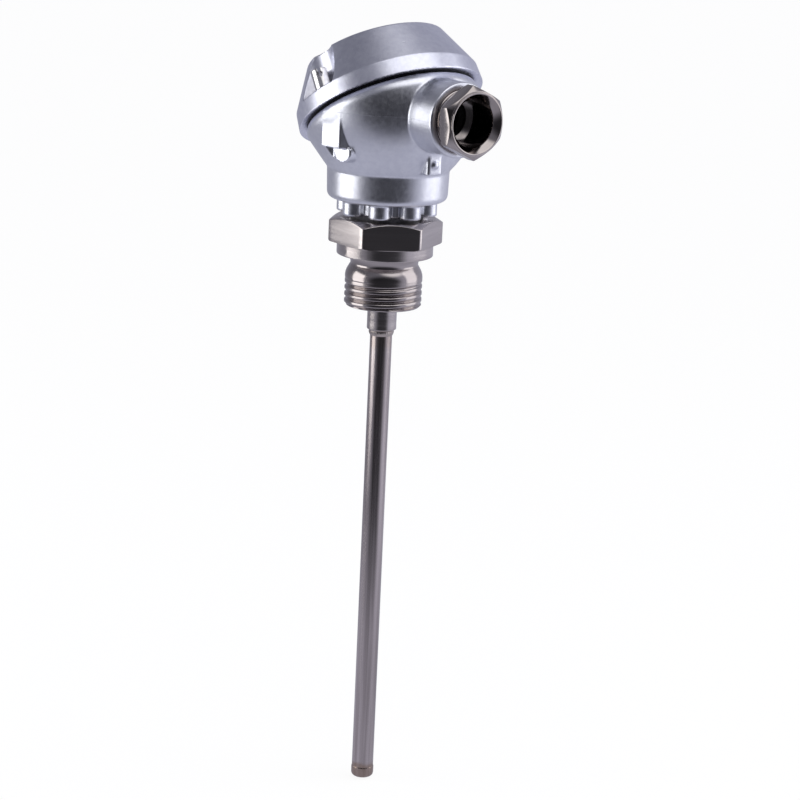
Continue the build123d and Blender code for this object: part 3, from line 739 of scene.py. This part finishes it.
@dataclass
class ProcessFitting(Part):
    """Hexagon, collar, pipe thread, shoulder, weld and nipple, turned from one bar."""

    finish: ClassVar[Finish] = TURNED
    hexagon: Hexagon = Hexagon(27.0, 1.1, 1.7)
    thread: Helix = Helix(10.4775, 0.6, 1.814, 0.44, (-8.2, -6.4))
    thread_bottom: float = -14.0
    undercut_top: float = -2.6
    undercut_radius: float = 9.15
    run_out_slope: float = 0.58
    run_out_round: float = 0.7
    neck: tuple[Pair, ...] = (
        (9.15, -2.2), (9.24, -1.7), (9.4, -1.2), (9.62, -0.75), (9.9, -0.3), (10.15, 0.0),
    )
    collar_radius: float = 13.0
    collar_top: float = 3.3
    hex_top: float = 10.3
    crown_radius: float = 13.15
    crown_angle: float = 30.0
    foot_break: float = 0.3
    shoulder_radius: float = 4.0
    shoulder_bottom: float = -20.9
    shoulder_break: float = 0.45
    weld_bottom: float = -22.3
    weld_radius: float = 3.06
    weld_inset: float = 0.6
    weld_curve: float = 1.3
    weld_beads: int = 26
    bead_height: float = 0.2
    bead_lean: float = 2.2
    weld_rings: int = 9
    socket_radius: float = 3.05
    socket_top: float = 2.0
    passage_radius: float = 6.0
    nipple_radius: float = 8.0
    nipple_top: float = 19.3

    def thread_limit(self, height: Array) -> Array:
        """Greatest radius at a height: chamfer at the lower end, cone of the run-out at the upper."""
        crest = self.thread.crest_radius
        lower = crest - self.thread.depth + (height - self.thread_bottom)
        upper = self.undercut_radius + (self.undercut_top - height) * self.run_out_slope
        return np.minimum(lower, join(upper, np.full_like(upper, crest), self.run_out_round))

    def weld(self, lathe: Lathe) -> None:
        """Weld fillet as overlapping beads: its radius swells and sinks round the axis."""
        rise = self.shoulder_radius - self.weld_inset - self.weld_radius
        for share in np.linspace(0.0, 1.0, self.weld_rings):
            base = self.weld_radius + rise * share**self.weld_curve
            wave = np.abs(np.sin(lathe.angles * self.weld_beads / 2 + share * self.bead_lean))
            height = self.weld_bottom + (self.shoulder_bottom - self.weld_bottom) * share
            lathe.ring(base + self.bead_height * math.sin(math.pi * share) * wave, height)

    def build(self) -> list[Piece]:
        """Make the fitting as one closed outline carried round Z."""
        angles = self.hexagon.angles()
        side = self.hexagon.radius(angles)
        foot = float(side.max()) - self.foot_break
        drop = np.maximum(side - self.crown_radius, 0.0) * math.tan(math.radians(self.crown_angle))
        lathe = Lathe(angles)
        self.weld(lathe)
        lathe.outline(
            (self.shoulder_radius, self.shoulder_bottom + self.shoulder_break, 0.15),
            (self.shoulder_radius, self.thread_bottom, 0.1),
        )
        self.thread.rings(lathe, self.thread_bottom, self.undercut_top, self.thread_limit)
        lathe.outline(
            *self.neck,
            (self.collar_radius, 0.0, 0.3),
            (self.collar_radius, self.collar_top, 0.3),
            (np.minimum(side, foot), self.collar_top),
            (side, self.collar_top + np.maximum(side - foot, 0.0), 0.15),
            (side, self.hex_top - drop, 0.22),
            (self.crown_radius, self.hex_top, 0.2),
            (self.nipple_radius, self.hex_top, 0.2),
            (self.nipple_radius, self.nipple_top, 0.2),
            (self.passage_radius, self.nipple_top),
            (self.passage_radius, self.socket_top),
            (self.socket_radius, self.socket_top),
            (self.socket_radius, self.weld_bottom),
        )
        mesh = lathe_mesh("process_fitting_turned", lathe)
        return [add_piece(mesh, Body.BASE, "process_fitting")]


@dataclass
class Sheath(Part):
    """Drawn tube with its welded tip."""

    finish: ClassVar[Finish] = DRAWN
    radius: float = 3.0
    bore_radius: float = 2.5
    top: float = 2.0
    bottom: float = -146.8
    end: float = -150.0
    tip_radius: float = 3.12
    tip_round: float = 1.2
    round_start: float = 0.15
    ripple_height: float = 0.035
    ripples: int = 11
    ripple_drop: float = 0.35
    proud: float = 0.02
    spigot_radius: float = 2.45
    spigot_top: float = -145.2
    columns: int = 96
    tube_rings: int = 24
    round_rings: int = 8

    def build(self) -> list[Piece]:
        """Make the tube and the tip, each an outline carried round Z."""
        angles = np.linspace(0.0, TURN, self.columns + 1)
        tube = Lathe(angles)
        for height in np.linspace(self.bottom, self.top, self.tube_rings):
            tube.ring(self.radius, height)
        tube.outline((self.bore_radius, self.top), (self.bore_radius, self.bottom))
        tip = Lathe(angles)
        inner = self.tip_radius - self.tip_round
        tip.outline((0.0, self.spigot_top), (0.0, self.end), (inner, self.end))
        for turn in np.linspace(self.round_start, 1.0, self.round_rings) * math.pi / 2:
            rise = self.tip_round * (1 - math.cos(turn))
            tip.ring(self.tip_radius - self.tip_round * (1 - math.sin(turn)), self.end + rise)
        ripple = self.ripple_height * np.abs(np.sin(angles * self.ripples))
        tip.outline(
            (self.tip_radius - self.proud + ripple, self.bottom - self.ripple_drop),
            (self.radius + self.proud, self.bottom),
            (self.spigot_radius, self.bottom),
            (self.spigot_radius, self.spigot_top),
        )
        return [
            add_piece(lathe_mesh("sheath_tube_drawn", tube), Body.BASE, "sheath_tube"),
            add_piece(lathe_mesh("tip_cap_welded", tip), Body.BASE, "tip_cap"),
        ]


@dataclass
class HeadCasting(Part):
    """Cast head: pegs, base ring, slant bowl, cable boss, lug, pads and knobs.

    The bowl is a family of circles in planes that all pass through one hinge line, where the base
    plane meets the lid joint. Round that line, the circles' centres and radii follow parabolas.
    Pads, pockets and knobs are mirrored; their upright planes are (x, side, facing).
    """

    finish: ClassVar[Finish] = CAST
    hinge: Pair = (-25.77, 23.44)
    stations: Triple = (0.0, 15.0, 28.3)
    centres: Triple = (25.77, 29.37, 30.6)
    radii: Triple = (16.4, 21.3, 23.75)
    turns: Pair = (-14.0, 40.0)
    flank_lean: float = 1.15
    wall: float = 2.3
    bowl_bottom: float = 20.5
    hollow_bottom: float = 21.0
    mouth_radius: float = 23.1
    mouth_height: float = 46.2
    brow_lean: float = 0.41
    base_radius: float = 16.4
    base_foot_radius: float = 16.15
    base_bottom: float = 15.2
    base_top: float = 23.44
    base_round: float = 1.9
    floor_top: float = 19.5
    neck_bottom: float = 11.2
    neck_radius: float = 9.8
    peg_radius: float = 3.0
    peg_circle: float = 10.6
    peg_count: int = 8
    peg_overlap: float = 2.0
    boss_height: float = 40.3
    boss_radius: float = 9.8
    boss_end: float = 31.4
    boss_inner_end: float = 18.5
    thread_radius: float = 8.05
    seal_start: float = 20.5
    lip_hole_radius: float = 6.0
    pad_left: Triple = (2.2, 23.38, -170.0)
    pad_right: Triple = (8.55, 22.03, 20.0)
    pad_front: Triple = (8.55, 22.03, 78.0)
    pad_inner: float = 17.3
    pad_z: Pair = (30.7, 40.3)
    pocket_left: Triple = (0.6, 21.0, 38.0)
    pocket_back: Triple = (2.06, 19.2, 100.0)
    pocket_end: float = 6.5
    pocket_bottom: float = 26.5
    knob_radius: float = 2.85
    knob_height: float = 29.75
    knob_face: Triple = (7.6, 20.5, 77.0)
    screw_place: Pair = (0.9, 20.3)
    tapped_radius: float = 1.3
    tapped_bottom: float = 38.15
    inner_boss_radius: float = 2.6
    inner_boss_bottom: float = 36.7
    pillar_place: float = 9.4
    pillar_radius: float = 2.5
    pillar_top: float = 23.5
    pillar_hole: Pair = (19.5, 25.0)
    earth_place: Pair = (14.0, -8.2)
    earth_radius: float = 2.8
    earth_top: float = 31.0
    earth_hole: Pair = (27.0, 33.0)
    screw_hole_radius: float = 1.55
    nipple_radius: float = 8.05
    lug_root: float = 12.0
    lug_face: float = 21.0
    lug_half_width: float = 2.3
    lug_z: Pair = (24.4, 31.5)
    pip_height: float = 27.2
    pip_radius: float = 1.0
    pip_root: float = 20.0
    pip_proud: float = 0.5
    low: Triple = (-23.6, -24.4, 10.9)
    high: Triple = (32.0, 24.4, 52.8)
    step: float = 0.37

    def bowl(self, x: Array, y: Array, z: Array, inset: float) -> Array:
        """Distance from the bowl's flank, made smaller by the inset."""
        dx, dz = x - self.hinge[0], z - self.hinge[1]
        turn = np.clip(np.degrees(np.arctan2(dz, np.maximum(dx, 0.5))), *self.turns)
        centre = np.polyval(np.polyfit(self.stations, self.centres, 2), turn)
        radius = np.polyval(np.polyfit(self.stations, self.radii, 2), turn)
        flank = (disc(np.sqrt(dx * dx + dz * dz) - centre, y, 0.0) - (radius - inset)) / self.flank_lean
        u, h = LID_FRAME.to_lid(x, z)
        brow = disc(u, y, 0.0) - (self.mouth_radius - inset + self.brow_lean * (self.mouth_height - h))
        return common(flank, brow / math.hypot(1.0, self.brow_lean), 0.7)

    def foot(self, x: Array, y: Array, z: Array) -> Array:
        """Distance from the base ring and its pegs."""
        r = np.sqrt(x * x + y * y)
        base = slope_side(r, z, (self.base_foot_radius, self.base_bottom), (self.base_radius, self.base_top))
        base = common(base, z - self.base_top - 0.4, 0.1)
        base = common(base, self.base_bottom - z, self.base_round)
        pitch = TURN / self.peg_count
        fold = np.mod(np.arctan2(y, x) + pitch / 2, pitch) - pitch / 2
        peg = disc(r * np.cos(fold) - self.peg_circle, r * np.sin(fold), self.peg_radius)
        peg = join(peg, r - self.neck_radius, 0.5)
        peg = common(peg, span(z, self.neck_bottom, self.base_bottom + self.peg_overlap), 0.5)
        return join(base, peg, 0.5)

    def lug(self, x: Array, y: Array, z: Array) -> Array:
        """Distance from the lug under the cable boss, with its pip."""
        lug = common(np.abs(y) - self.lug_half_width, span(x, self.lug_root, self.lug_face), 0.9)
        lug = common(lug, span(z, *self.lug_z), 0.4)
        pip = disc(y, z - self.pip_height, self.pip_radius)
        pip = common(pip, span(x, self.pip_root, self.lug_face + self.pip_proud), 0.6)
        return join(lug, pip, 0.3)

    def pocket(self, x: Array, side: Array, z: Array) -> Array:
        """Distance from the pocket left of each knob."""
        pocket = common(-upright(x, side, self.pocket_left), -upright(x, side, self.pocket_back), 0.1)
        ends = common(z - self.pad_z[0] - 0.3, x - self.pocket_end, 0.1)
        return common(common(pocket, ends, 0.1), self.pocket_bottom - z, 0.1)

    def pad(self, x: Array, side: Array, z: Array) -> Array:
        """Distance from the screw pad on each side, with the knob under it."""
        pad = common(upright(x, side, self.pad_left), upright(x, side, self.pad_right), 0.2)
        pad = common(pad, upright(x, side, self.pad_front), 0.25)
        pad = common(common(pad, self.pad_inner - side, 0.1), span(z, *self.pad_z), 0.25)
        knob = disc(x - self.knob_face[0], z - self.knob_height, self.knob_radius)
        knob = common(knob, upright(x, side, self.knob_face), 0.3)
        knob = common(common(knob, self.pad_inner - side, 0.1), z - self.pad_z[0] - 0.2, 0.1)
        return join(pad, knob, 0.15)

    def outside(self, x: Array, y: Array, z: Array) -> Array:
        """Distance from the casting's outside, its hollows still filled."""
        side = np.abs(y)
        shell = common(self.bowl(x, y, z, 0.0), self.bowl_bottom - z, 0.2)
        body = join(self.foot(x, y, z), shell, 0.35)
        boss = disc(y, z - self.boss_height, self.boss_radius)
        body = join(body, common(boss, span(x, self.lug_face / 2, self.boss_end), 0.5), 0.5)
        body = cut(body, self.pocket(x, side, z), 0.12)
        body = join(body, self.lug(x, y, z), 0.5)
        body = join(body, self.pad(x, side, z), 0.2)
        return common(body, LID_FRAME.to_lid(x, z)[1] - self.mouth_height, 0.3)

    def field(self, x: Array, y: Array, z: Array) -> Array:
        """Distance from the whole casting with its hollow, bosses and holes."""
        r = np.sqrt(x * x + y * y)
        side = np.abs(y)
        u, h = LID_FRAME.to_lid(x, z)
        screw = disc(u - self.screw_place[0], side - self.screw_place[1], 0.0)
        bore = disc(y, z - self.boss_height, 0.0)
        pillar = disc(x, side - self.pillar_place, 0.0)
        earth = disc(x - self.earth_place[0], y - self.earth_place[1], 0.0)
        hollow = common(self.bowl(x, y, z, self.wall), self.hollow_bottom - z, 0.2)
        well = common(r - (self.base_radius - self.wall), span(z, self.floor_top, self.base_top + 1.0), 0.8)
        hollow = join(hollow, well, 0.4)
        hollow = cut(hollow, common(bore - self.boss_radius, self.boss_inner_end - x, 0.5), 0.6)
        hollow = cut(hollow, common(screw - self.inner_boss_radius, self.inner_boss_bottom - h, 0.4), 0.5)
        hollow = cut(hollow, common(pillar - self.pillar_radius, z - self.pillar_top, 0.2), 0.5)
        hollow = cut(hollow, common(earth - self.earth_radius, z - self.earth_top, 0.2), 0.5)
        body = cut(self.outside(x, y, z), hollow, 0.3)
        body = cut(body, common(r - self.nipple_radius, z - self.floor_top, 0.1), 0.15)
        body = cut(body, common(bore - self.thread_radius, self.seal_start - x, 0.2), 0.4)
        body = cut(body, common(bore - self.lip_hole_radius, self.boss_inner_end - 1.5 - x, 0.2), 0.3)
        body = cut(body, common(screw - self.tapped_radius, self.tapped_bottom - h, 0.2), 0.2)
        holes = common(pillar - self.screw_hole_radius, span(z, *self.pillar_hole), 0.2)
        earth_hole = common(earth - self.screw_hole_radius, span(z, *self.earth_hole), 0.2)
        return cut(body, join(holes, earth_hole, 0.01), 0.2)

    def build(self) -> list[Piece]:
        """Make the casting from its field."""
        points, quads = surface_of(self.field, self.low, self.high, self.step)
        mesh = mesh_of("head_body_cast", points, quads, CAST_SHARP)
        return [add_piece(mesh, Body.BASE, "head_body")]


@dataclass
class LidCasting(Part):
    """Cast lid with rim band, conical side and a scoop over each screw, in the lid's frame."""

    finish: ClassVar[Finish] = CAST_LID
    bottom: float = 46.8
    rim_top: float = 50.85
    top: float = 62.4
    rim_radius: float = 25.19
    ledge_radius: float = 24.85
    skirt_start: float = 23.3
    skirt_depth: float = 0.33
    top_radius: float = 18.8
    mouth_radius: float = 19.9
    throat_radius: float = 19.5
    ceiling: float = 60.1
    ceiling_radius: float = 17.7
    scoop_place: Pair = (2.8, 23.5)
    scoop_radius: float = 6.45
    scoop_wall: float = 1.9
    screw_place: Pair = (0.9, 20.3)
    hole_radius: float = 1.45
    clip_radius: float = 2.4
    clip_depth: float = 1.1
    low: Triple = (-25.8, -25.8, 46.3)
    high: Triple = (25.8, 25.8, 62.9)
    step: float = 0.26

    def field(self, u: Array, v: Array, h: Array) -> Array:
        """Distance from the lid, in its own frame."""
        r = np.sqrt(u * u + v * v)
        side = np.abs(v)
        rim = slope_side(r, h, (self.rim_radius, self.bottom), (self.ledge_radius, self.rim_top))
        cone = slope_side(r, h, (self.ledge_radius, self.rim_top), (self.top_radius, self.top))
        shell = common(common(rim, cone, 0.06), h - self.top, 0.4)
        outwards = np.clip((r - self.skirt_start) / (self.rim_radius - self.skirt_start), 0.0, 1.0)
        shell = common(shell, self.bottom - self.skirt_depth * outwards - h, 0.15)
        away = disc(u - self.scoop_place[0], side - self.scoop_place[1], 0.0)
        shell = cut(shell, common(away - self.scoop_radius, self.rim_top - h, 0.7), 0.2)
        throat = slope_side(r, h, (self.mouth_radius, self.bottom), (self.throat_radius, self.rim_top))
        upper = slope_side(r, h, (self.throat_radius, self.rim_top), (self.ceiling_radius, self.ceiling))
        hollow = common(common(throat, upper, 0.5), h - self.ceiling, 1.0)
        hollow = cut(hollow, away - self.scoop_radius - self.scoop_wall, 0.8)
        shell = cut(shell, hollow, 0.35)
        screw = disc(u - self.screw_place[0], side - self.screw_place[1], 0.0)
        clip = common(screw - self.clip_radius, h - self.bottom - self.clip_depth, 0.1)
        return cut(shell, join(screw - self.hole_radius, clip, 0.05), 0.2)

    def build(self) -> list[Piece]:
        """Make the lid from its field and tilt it into place."""
        points, quads = surface_of(self.field, self.low, self.high, self.step)
        mesh = mesh_of("head_lid_cast", LID_FRAME.to_object(points), quads, CAST_SHARP)
        return [add_piece(mesh, Body.LID, "head_lid")]


@dataclass
class LidScrew(Part):
    """Captive lid screw with a tall slotted head and a cross hole."""

    finish: ClassVar[Finish] = BRIGHT
    side: Side
    place: Pair = (0.9, 20.3)
    seat: float = 50.875
    head_radius: float = 2.25
    head_height: float = 6.6
    shank_radius: float = 1.25
    reach: float = 12.0
    overlap: float = 0.5
    slot_half_width: float = 0.4
    slot_depth: float = 1.0
    hole_radius: float = 0.75
    hole_depth: float = 1.8
    turn: float = 35.5
    half: float = 2.5
    margin: float = 0.4
    step: float = 0.12

    def field(self, x: Array, y: Array, z: Array) -> Array:
        """Distance from the screw, its seat at zero height."""
        r = np.sqrt(x * x + y * y)
        head = common(r - self.head_radius, span(z, 0.0, self.head_height), 0.4)
        shank = common(r - self.shank_radius, span(z, -self.reach, self.overlap), 0.4)
        turn = math.radians(self.turn * self.side.value)
        across = y * math.cos(turn) - x * math.sin(turn)
        slot = common(np.abs(across) - self.slot_half_width, self.head_height - self.slot_depth - z, 0.1)
        screw = cut(join(head, shank, 0.15), slot, 0.06)
        return cut(screw, disc(across, z - self.head_height + self.hole_depth, self.hole_radius), 0.06)

    def build(self) -> list[Piece]:
        """Make the screw from its field and set it on its axis."""
        low = (-self.half, -self.half, -self.reach - self.margin)
        high = (self.half, self.half, self.head_height + self.margin)
        points, quads = surface_of(self.field, low, high, self.step)
        points = points + np.array([self.place[0], self.side.value * self.place[1], self.seat])
        node = "lid_screw_" + self.side.name.lower()
        mesh = mesh_of(node + "_cut", LID_FRAME.to_object(points), quads, CAST_SHARP)
        body = Body.SCREW_RIGHT if self.side is Side.RIGHT else Body.SCREW_LEFT
        return [add_piece(mesh, body, node)]


@dataclass
class PressureScrew(Part):
    """Hollow pressure screw of the cable entry, along +X."""

    finish: ClassVar[Finish] = NICKEL
    hexagon: Hexagon = Hexagon(17.0, 0.45, 4.1)
    thread: Helix = Helix(8.0, 0.85, 1.5)
    axis_height: float = 40.3
    thread_start: float = 26.3
    thread_foot: float = 7.2
    hex_start: float = 33.1
    hex_end: float = 36.8
    hex_inset: float = 0.25
    hex_break: float = 0.4
    back_slope: float = 0.7
    back_step: float = 0.1
    nose_length: float = 0.9
    nose_step: float = 0.25
    lip_radius: float = 8.1
    lip_end: float = 38.1
    mouth_radius: float = 7.7
    mouth_depth: float = 1.8
    bore_radius: float = 6.3

    def thread_limit(self, height: Array) -> Array:
        """Greatest radius of the thread: a chamfer at its inner end."""
        return np.minimum(self.thread.crest_radius, self.thread_foot + (height - self.thread_start))

    def on_axis(self, points: Array) -> Array:
        """Lay points that were made about Z along +X at the cable entry."""
        x, y, z = points[:, 0], points[:, 1], points[:, 2]
        return np.stack([z, y, self.axis_height - x], axis=1)

    def build(self) -> list[Piece]:
        """Make the screw as one closed outline carried round its axis."""
        angles = self.hexagon.angles()
        side = self.hexagon.radius(angles)
        flat = self.hexagon.across_flats / 2
        nose_end = self.hex_end + self.nose_length
        rim = self.lip_radius + self.nose_step
        corner = flat / math.cos(SEXTANT / 2)
        lean = (nose_end - self.hex_end + self.hex_break) / (corner - rim)
        lathe = Lathe(angles)
        lathe.ring(self.bore_radius, self.thread_start)
        self.thread.rings(lathe, self.thread_start, self.hex_start, self.thread_limit)
        lathe.outline(
            (flat - self.hex_inset, self.hex_start, 0.1),
            (side, self.hex_start + (side - flat) * self.back_slope + self.back_step, 0.14),
            (side, self.hex_end - self.hex_break + (corner - side) * lean, 0.16),
            (rim, nose_end, 0.1),
            (self.lip_radius, nose_end, 0.06),
            (self.lip_radius, self.lip_end, 0.2),
            (self.mouth_radius, self.lip_end, 0.15),
            (self.bore_radius, self.lip_end - self.mouth_depth, 0.2),
        )
        mesh = lathe_mesh("gland_screw_turned", lathe, self.on_axis)
        return [add_piece(mesh, Body.PRESSURE_SCREW, "gland_screw")]


@dataclass
class InnerParts:
    """Pieces whose solids already have the right form: they only get a finish."""

    finishes: tuple[tuple[Finish, tuple[str, ...]], ...] = (
        (RUBBER, ("lid_gasket", "gland_seal")),
        (FIBRE, ("neck_seal",)),
        (CERAMIC, ("terminal_block", "sensor_element", "bore_insulators")),
        (MAGNESIA, ("sheath_filling",)),
        (RESIN, ("top_plug",)),
        (WIRE, ("lead_wires",)),
        (SLEEVE, ("lead_sleeves",)),
        (BRASS, ("terminal_posts",)),
        (BRIGHT, ("terminal_screws", "block_screws", "earth_screw", "earth_washer", "gland_washer")),
        (BRIGHT, ("screw_clip_right", "screw_clip_left")),
    )

    def dress(self) -> None:
        """Give each solid its finish."""
        for finish, names in self.finishes:
            for name in names:
                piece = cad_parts[name]
                piece.data.materials.clear()
                piece.data.materials.append(finish.build())
                LOG.info("%s: %s", name, finish.name)


# Studio


@dataclass(frozen=True)
class Aim:
    """A direction: degrees from the camera's own side towards the camera's right, and upwards."""

    azimuth: float
    elevation: float


@dataclass(frozen=True)
class Patch(Aim):
    """A round patch of the surroundings, lighter or darker than the rest.

    Attributes:
        full: half-angle in degrees within which it is at its full strength.
        gone: half-angle in degrees beyond which nothing of it is left.
    """

    full: float
    gone: float


@dataclass(frozen=True)
class SoftBox(Aim):
    """A large lamp that faces the head: width and height in mm, power in watts."""

    name: str
    width: float
    height: float
    power: float


@dataclass
class Studio:
    """Pale floor, soft light and camera (mm)."""

    eye: Triple = (559.5194, -399.1918, 130.5325)
    right: Triple = (0.57825719, 0.81464961, 0.04432428)
    up: Triple = (-0.22182523, 0.10470998, 0.96944798)
    ahead: Triple = (-0.78511922, 0.57042251, -0.24125913)
    lens: float = 116.7716
    sensor: float = 36.0
    clip: Pair = (0.01, 20.0)
    floor_height: float = -150.6
    floor_half: float = 4000.0
    floor_colour: Colour = (0.9, 0.9, 0.9)
    floor_roughness: float = 0.9
    floor_glow: float = 0.88
    floor_strength: float = 1.05
    # Painted pool of light on the floor, seen only by mirrored rays: its glow, and the distances in metres
    # over which it fades from full to none.
    pool_glow_level: float = 0.52
    pool_glow_reach: Pair = (0.09, 0.30)
    wall_tint: Colour = (0.93, 0.94, 1.13)
    wall_level: float = 0.42
    wall_slope: float = 0.24
    wall_facing: Aim = Aim(90.0, -45.0)
    front: Patch = Patch(4.0, -2.0, 34.0, 62.0)
    front_squeeze: float = 1.5
    front_level: float = 0.09
    top: Patch = Patch(44.0, 66.0, 22.0, 39.0)
    top_level: float = 1.08
    boxes: tuple[SoftBox, ...] = (
        SoftBox(-82.0, 3.0, "left_box", 490.0, 500.0, 1.5),
        SoftBox(95.0, 12.0, "right_box", 500.0, 640.0, 1.1),
    )
    box_distance: float = 620.0
    head_centre: Triple = (8.0, 0.0, 25.0)

    def floor(self) -> None:
        """Lay a wide pale floor just under the tip; to mirrored rays its near part glows as a painted pool of
        light that fades with distance, and they pass the rest.
        """
        half, level = self.floor_half, self.floor_height
        corners = [(x * half, y * half, level) for x, y in ((-1, -1), (1, -1), (1, 1), (-1, 1))]
        mesh = mesh_of("floor", np.array(corners), np.array([[0, 1, 2, 3]]), CAST_SHARP)
        add_object("floor", mesh)
        graph = SurfaceGraph("floor_paper")
        graph.shader.inputs["Base Color"].default_value = (*self.floor_colour, 1.0)
        graph.shader.inputs["Roughness"].default_value = self.floor_roughness
        path = graph.node("LightPath")
        glow = graph.node("Emission", {"Strength": self.floor_strength})
        clear = graph.node("BsdfTransparent")
        # Painted pool of light: the floor near the tip glows for mirrored rays, fading out with distance.
        near = graph.node("Emission", {"Color": (*self.wall_tint, 1.0), "Strength": self.pool_glow_level})
        away = graph.vector("LENGTH", graph.coordinates((1.0, 1.0, 0.0))).outputs["Value"]
        close = graph.remap(away, self.pool_glow_reach, (1.0, 0.0))
        mirrored = graph.mixed(close, clear.outputs[0], near.outputs[0])
        share = graph.math("MULTIPLY", path.outputs["Is Camera Ray"], self.floor_glow)
        surface = graph.mixed(share, graph.shader.outputs[0], glow.outputs[0])
        graph.feed(graph.output, "Surface", graph.mixed(path.outputs["Is Glossy Ray"], surface, mirrored))
        mesh.materials.append(graph.material)

    def direction(self, aim: Aim) -> Array:
        """Unit vector of an aim in the object's frame."""
        turn = math.atan2(-self.ahead[1], -self.ahead[0]) + math.radians(aim.azimuth)
        rise = math.radians(aim.elevation)
        return np.array([math.cos(rise) * math.cos(turn), math.cos(rise) * math.sin(turn), math.sin(rise)])

    def cosine(self, graph: Graph, vector: Socket, aim: Aim) -> Socket:
        """Cosine between the direction looked at and an aim."""
        return graph.vector("DOT_PRODUCT", vector, self.direction(aim)).outputs["Value"]

    def share_of(self, graph: Graph, vector: Socket, patch: Patch) -> Socket:
        """How much of a patch lies in the direction looked at, from 0 to 1."""
        edges = (math.cos(math.radians(patch.gone)), math.cos(math.radians(patch.full)))
        return graph.remap(self.cosine(graph, vector, patch), edges)

    def world(self) -> None:
        """White to the camera; to the metal a grey-lilac room, dark in front and light at the top right."""
        world = bpy.data.worlds.new("studio")
        bpy.context.scene.world = world
        world.use_nodes = True
        graph = Graph(world.node_tree)
        vector = graph.node("TexCoord").outputs["Generated"]
        across = self.cosine(graph, vector, self.wall_facing)
        level = graph.math("MULTIPLY_ADD", across, self.wall_slope, self.wall_level)
        squeezed = graph.vector("MULTIPLY", vector, (1.0, 1.0, self.front_squeeze)).outputs[0]
        unit = graph.vector("NORMALIZE", squeezed).outputs[0]
        dark = graph.math("MULTIPLY", self.share_of(graph, unit, self.front), 1.0 - self.front_level)
        level = graph.math("MULTIPLY", level, graph.math("SUBTRACT", 1.0, dark))
        room = graph.node("VectorMath", {0: self.wall_tint, "Scale": level}, operation="SCALE").outputs[0]
        lamp = graph.math("MULTIPLY", self.share_of(graph, vector, self.top), self.top_level)
        lit = graph.vector("ADD", room, lamp).outputs[0]
        seen = graph.node("LightPath").outputs["Is Camera Ray"]
        light = graph.node("Background", {"Color": graph.blend(seen, lit, (1.0, 1.0, 1.0))})
        graph.node("OutputWorld", {"Surface": light.outputs[0]})

    def place(self, data: bpy.types.ID, axes: Sequence[Sequence[float]], origin: Sequence[float]) -> Piece:
        """Add a lamp or camera whose three axes and origin (mm) are given."""
        made = add_object(data.name, data)
        columns = np.stack([*axes, np.asarray(origin) * MM], axis=1)
        made.matrix_world = Matrix(np.vstack([columns, [0.0, 0.0, 0.0, 1.0]]).tolist())
        return made

    def lamp(self, box: SoftBox) -> None:
        """Hang one lamp."""
        data = bpy.data.lights.new(box.name, "AREA")
        data.shape = "RECTANGLE"
        data.size, data.size_y = box.width * MM, box.height * MM
        data.energy = box.power
        away = self.direction(box)
        side = np.cross([0.0, 0.0, 1.0], away)
        side = side / np.linalg.norm(side)
        origin = np.array(self.head_centre) + away * self.box_distance
        self.place(data, (side, np.cross(away, side), away), origin)

    def camera(self) -> None:
        """Set the camera where the photograph was taken from."""
        data = bpy.data.cameras.new("camera")
        data.lens = self.lens
        data.sensor_width = self.sensor
        data.clip_start, data.clip_end = self.clip
        back = [-part for part in self.ahead]
        bpy.context.scene.camera = self.place(data, (self.right, self.up, back), self.eye)

    def build(self) -> None:
        """Make the whole studio."""
        self.floor()
        self.world()
        for box in self.boxes:
            self.lamp(box)
        self.camera()
        bpy.context.scene.view_settings.view_transform = "Standard"


def main() -> None:
    """Build and dress every sub-assembly, then the studio."""
    logging.basicConfig(level=logging.INFO, format="%(name)s: %(message)s")
    InnerParts().dress()
    screws = [LidScrew(side) for side in Side]
    for part in (ProcessFitting(), Sheath(), HeadCasting(), LidCasting(), *screws, PressureScrew()):
        part.dress(part.build())
    Studio().build()


if __name__ == "__main__":
    main()
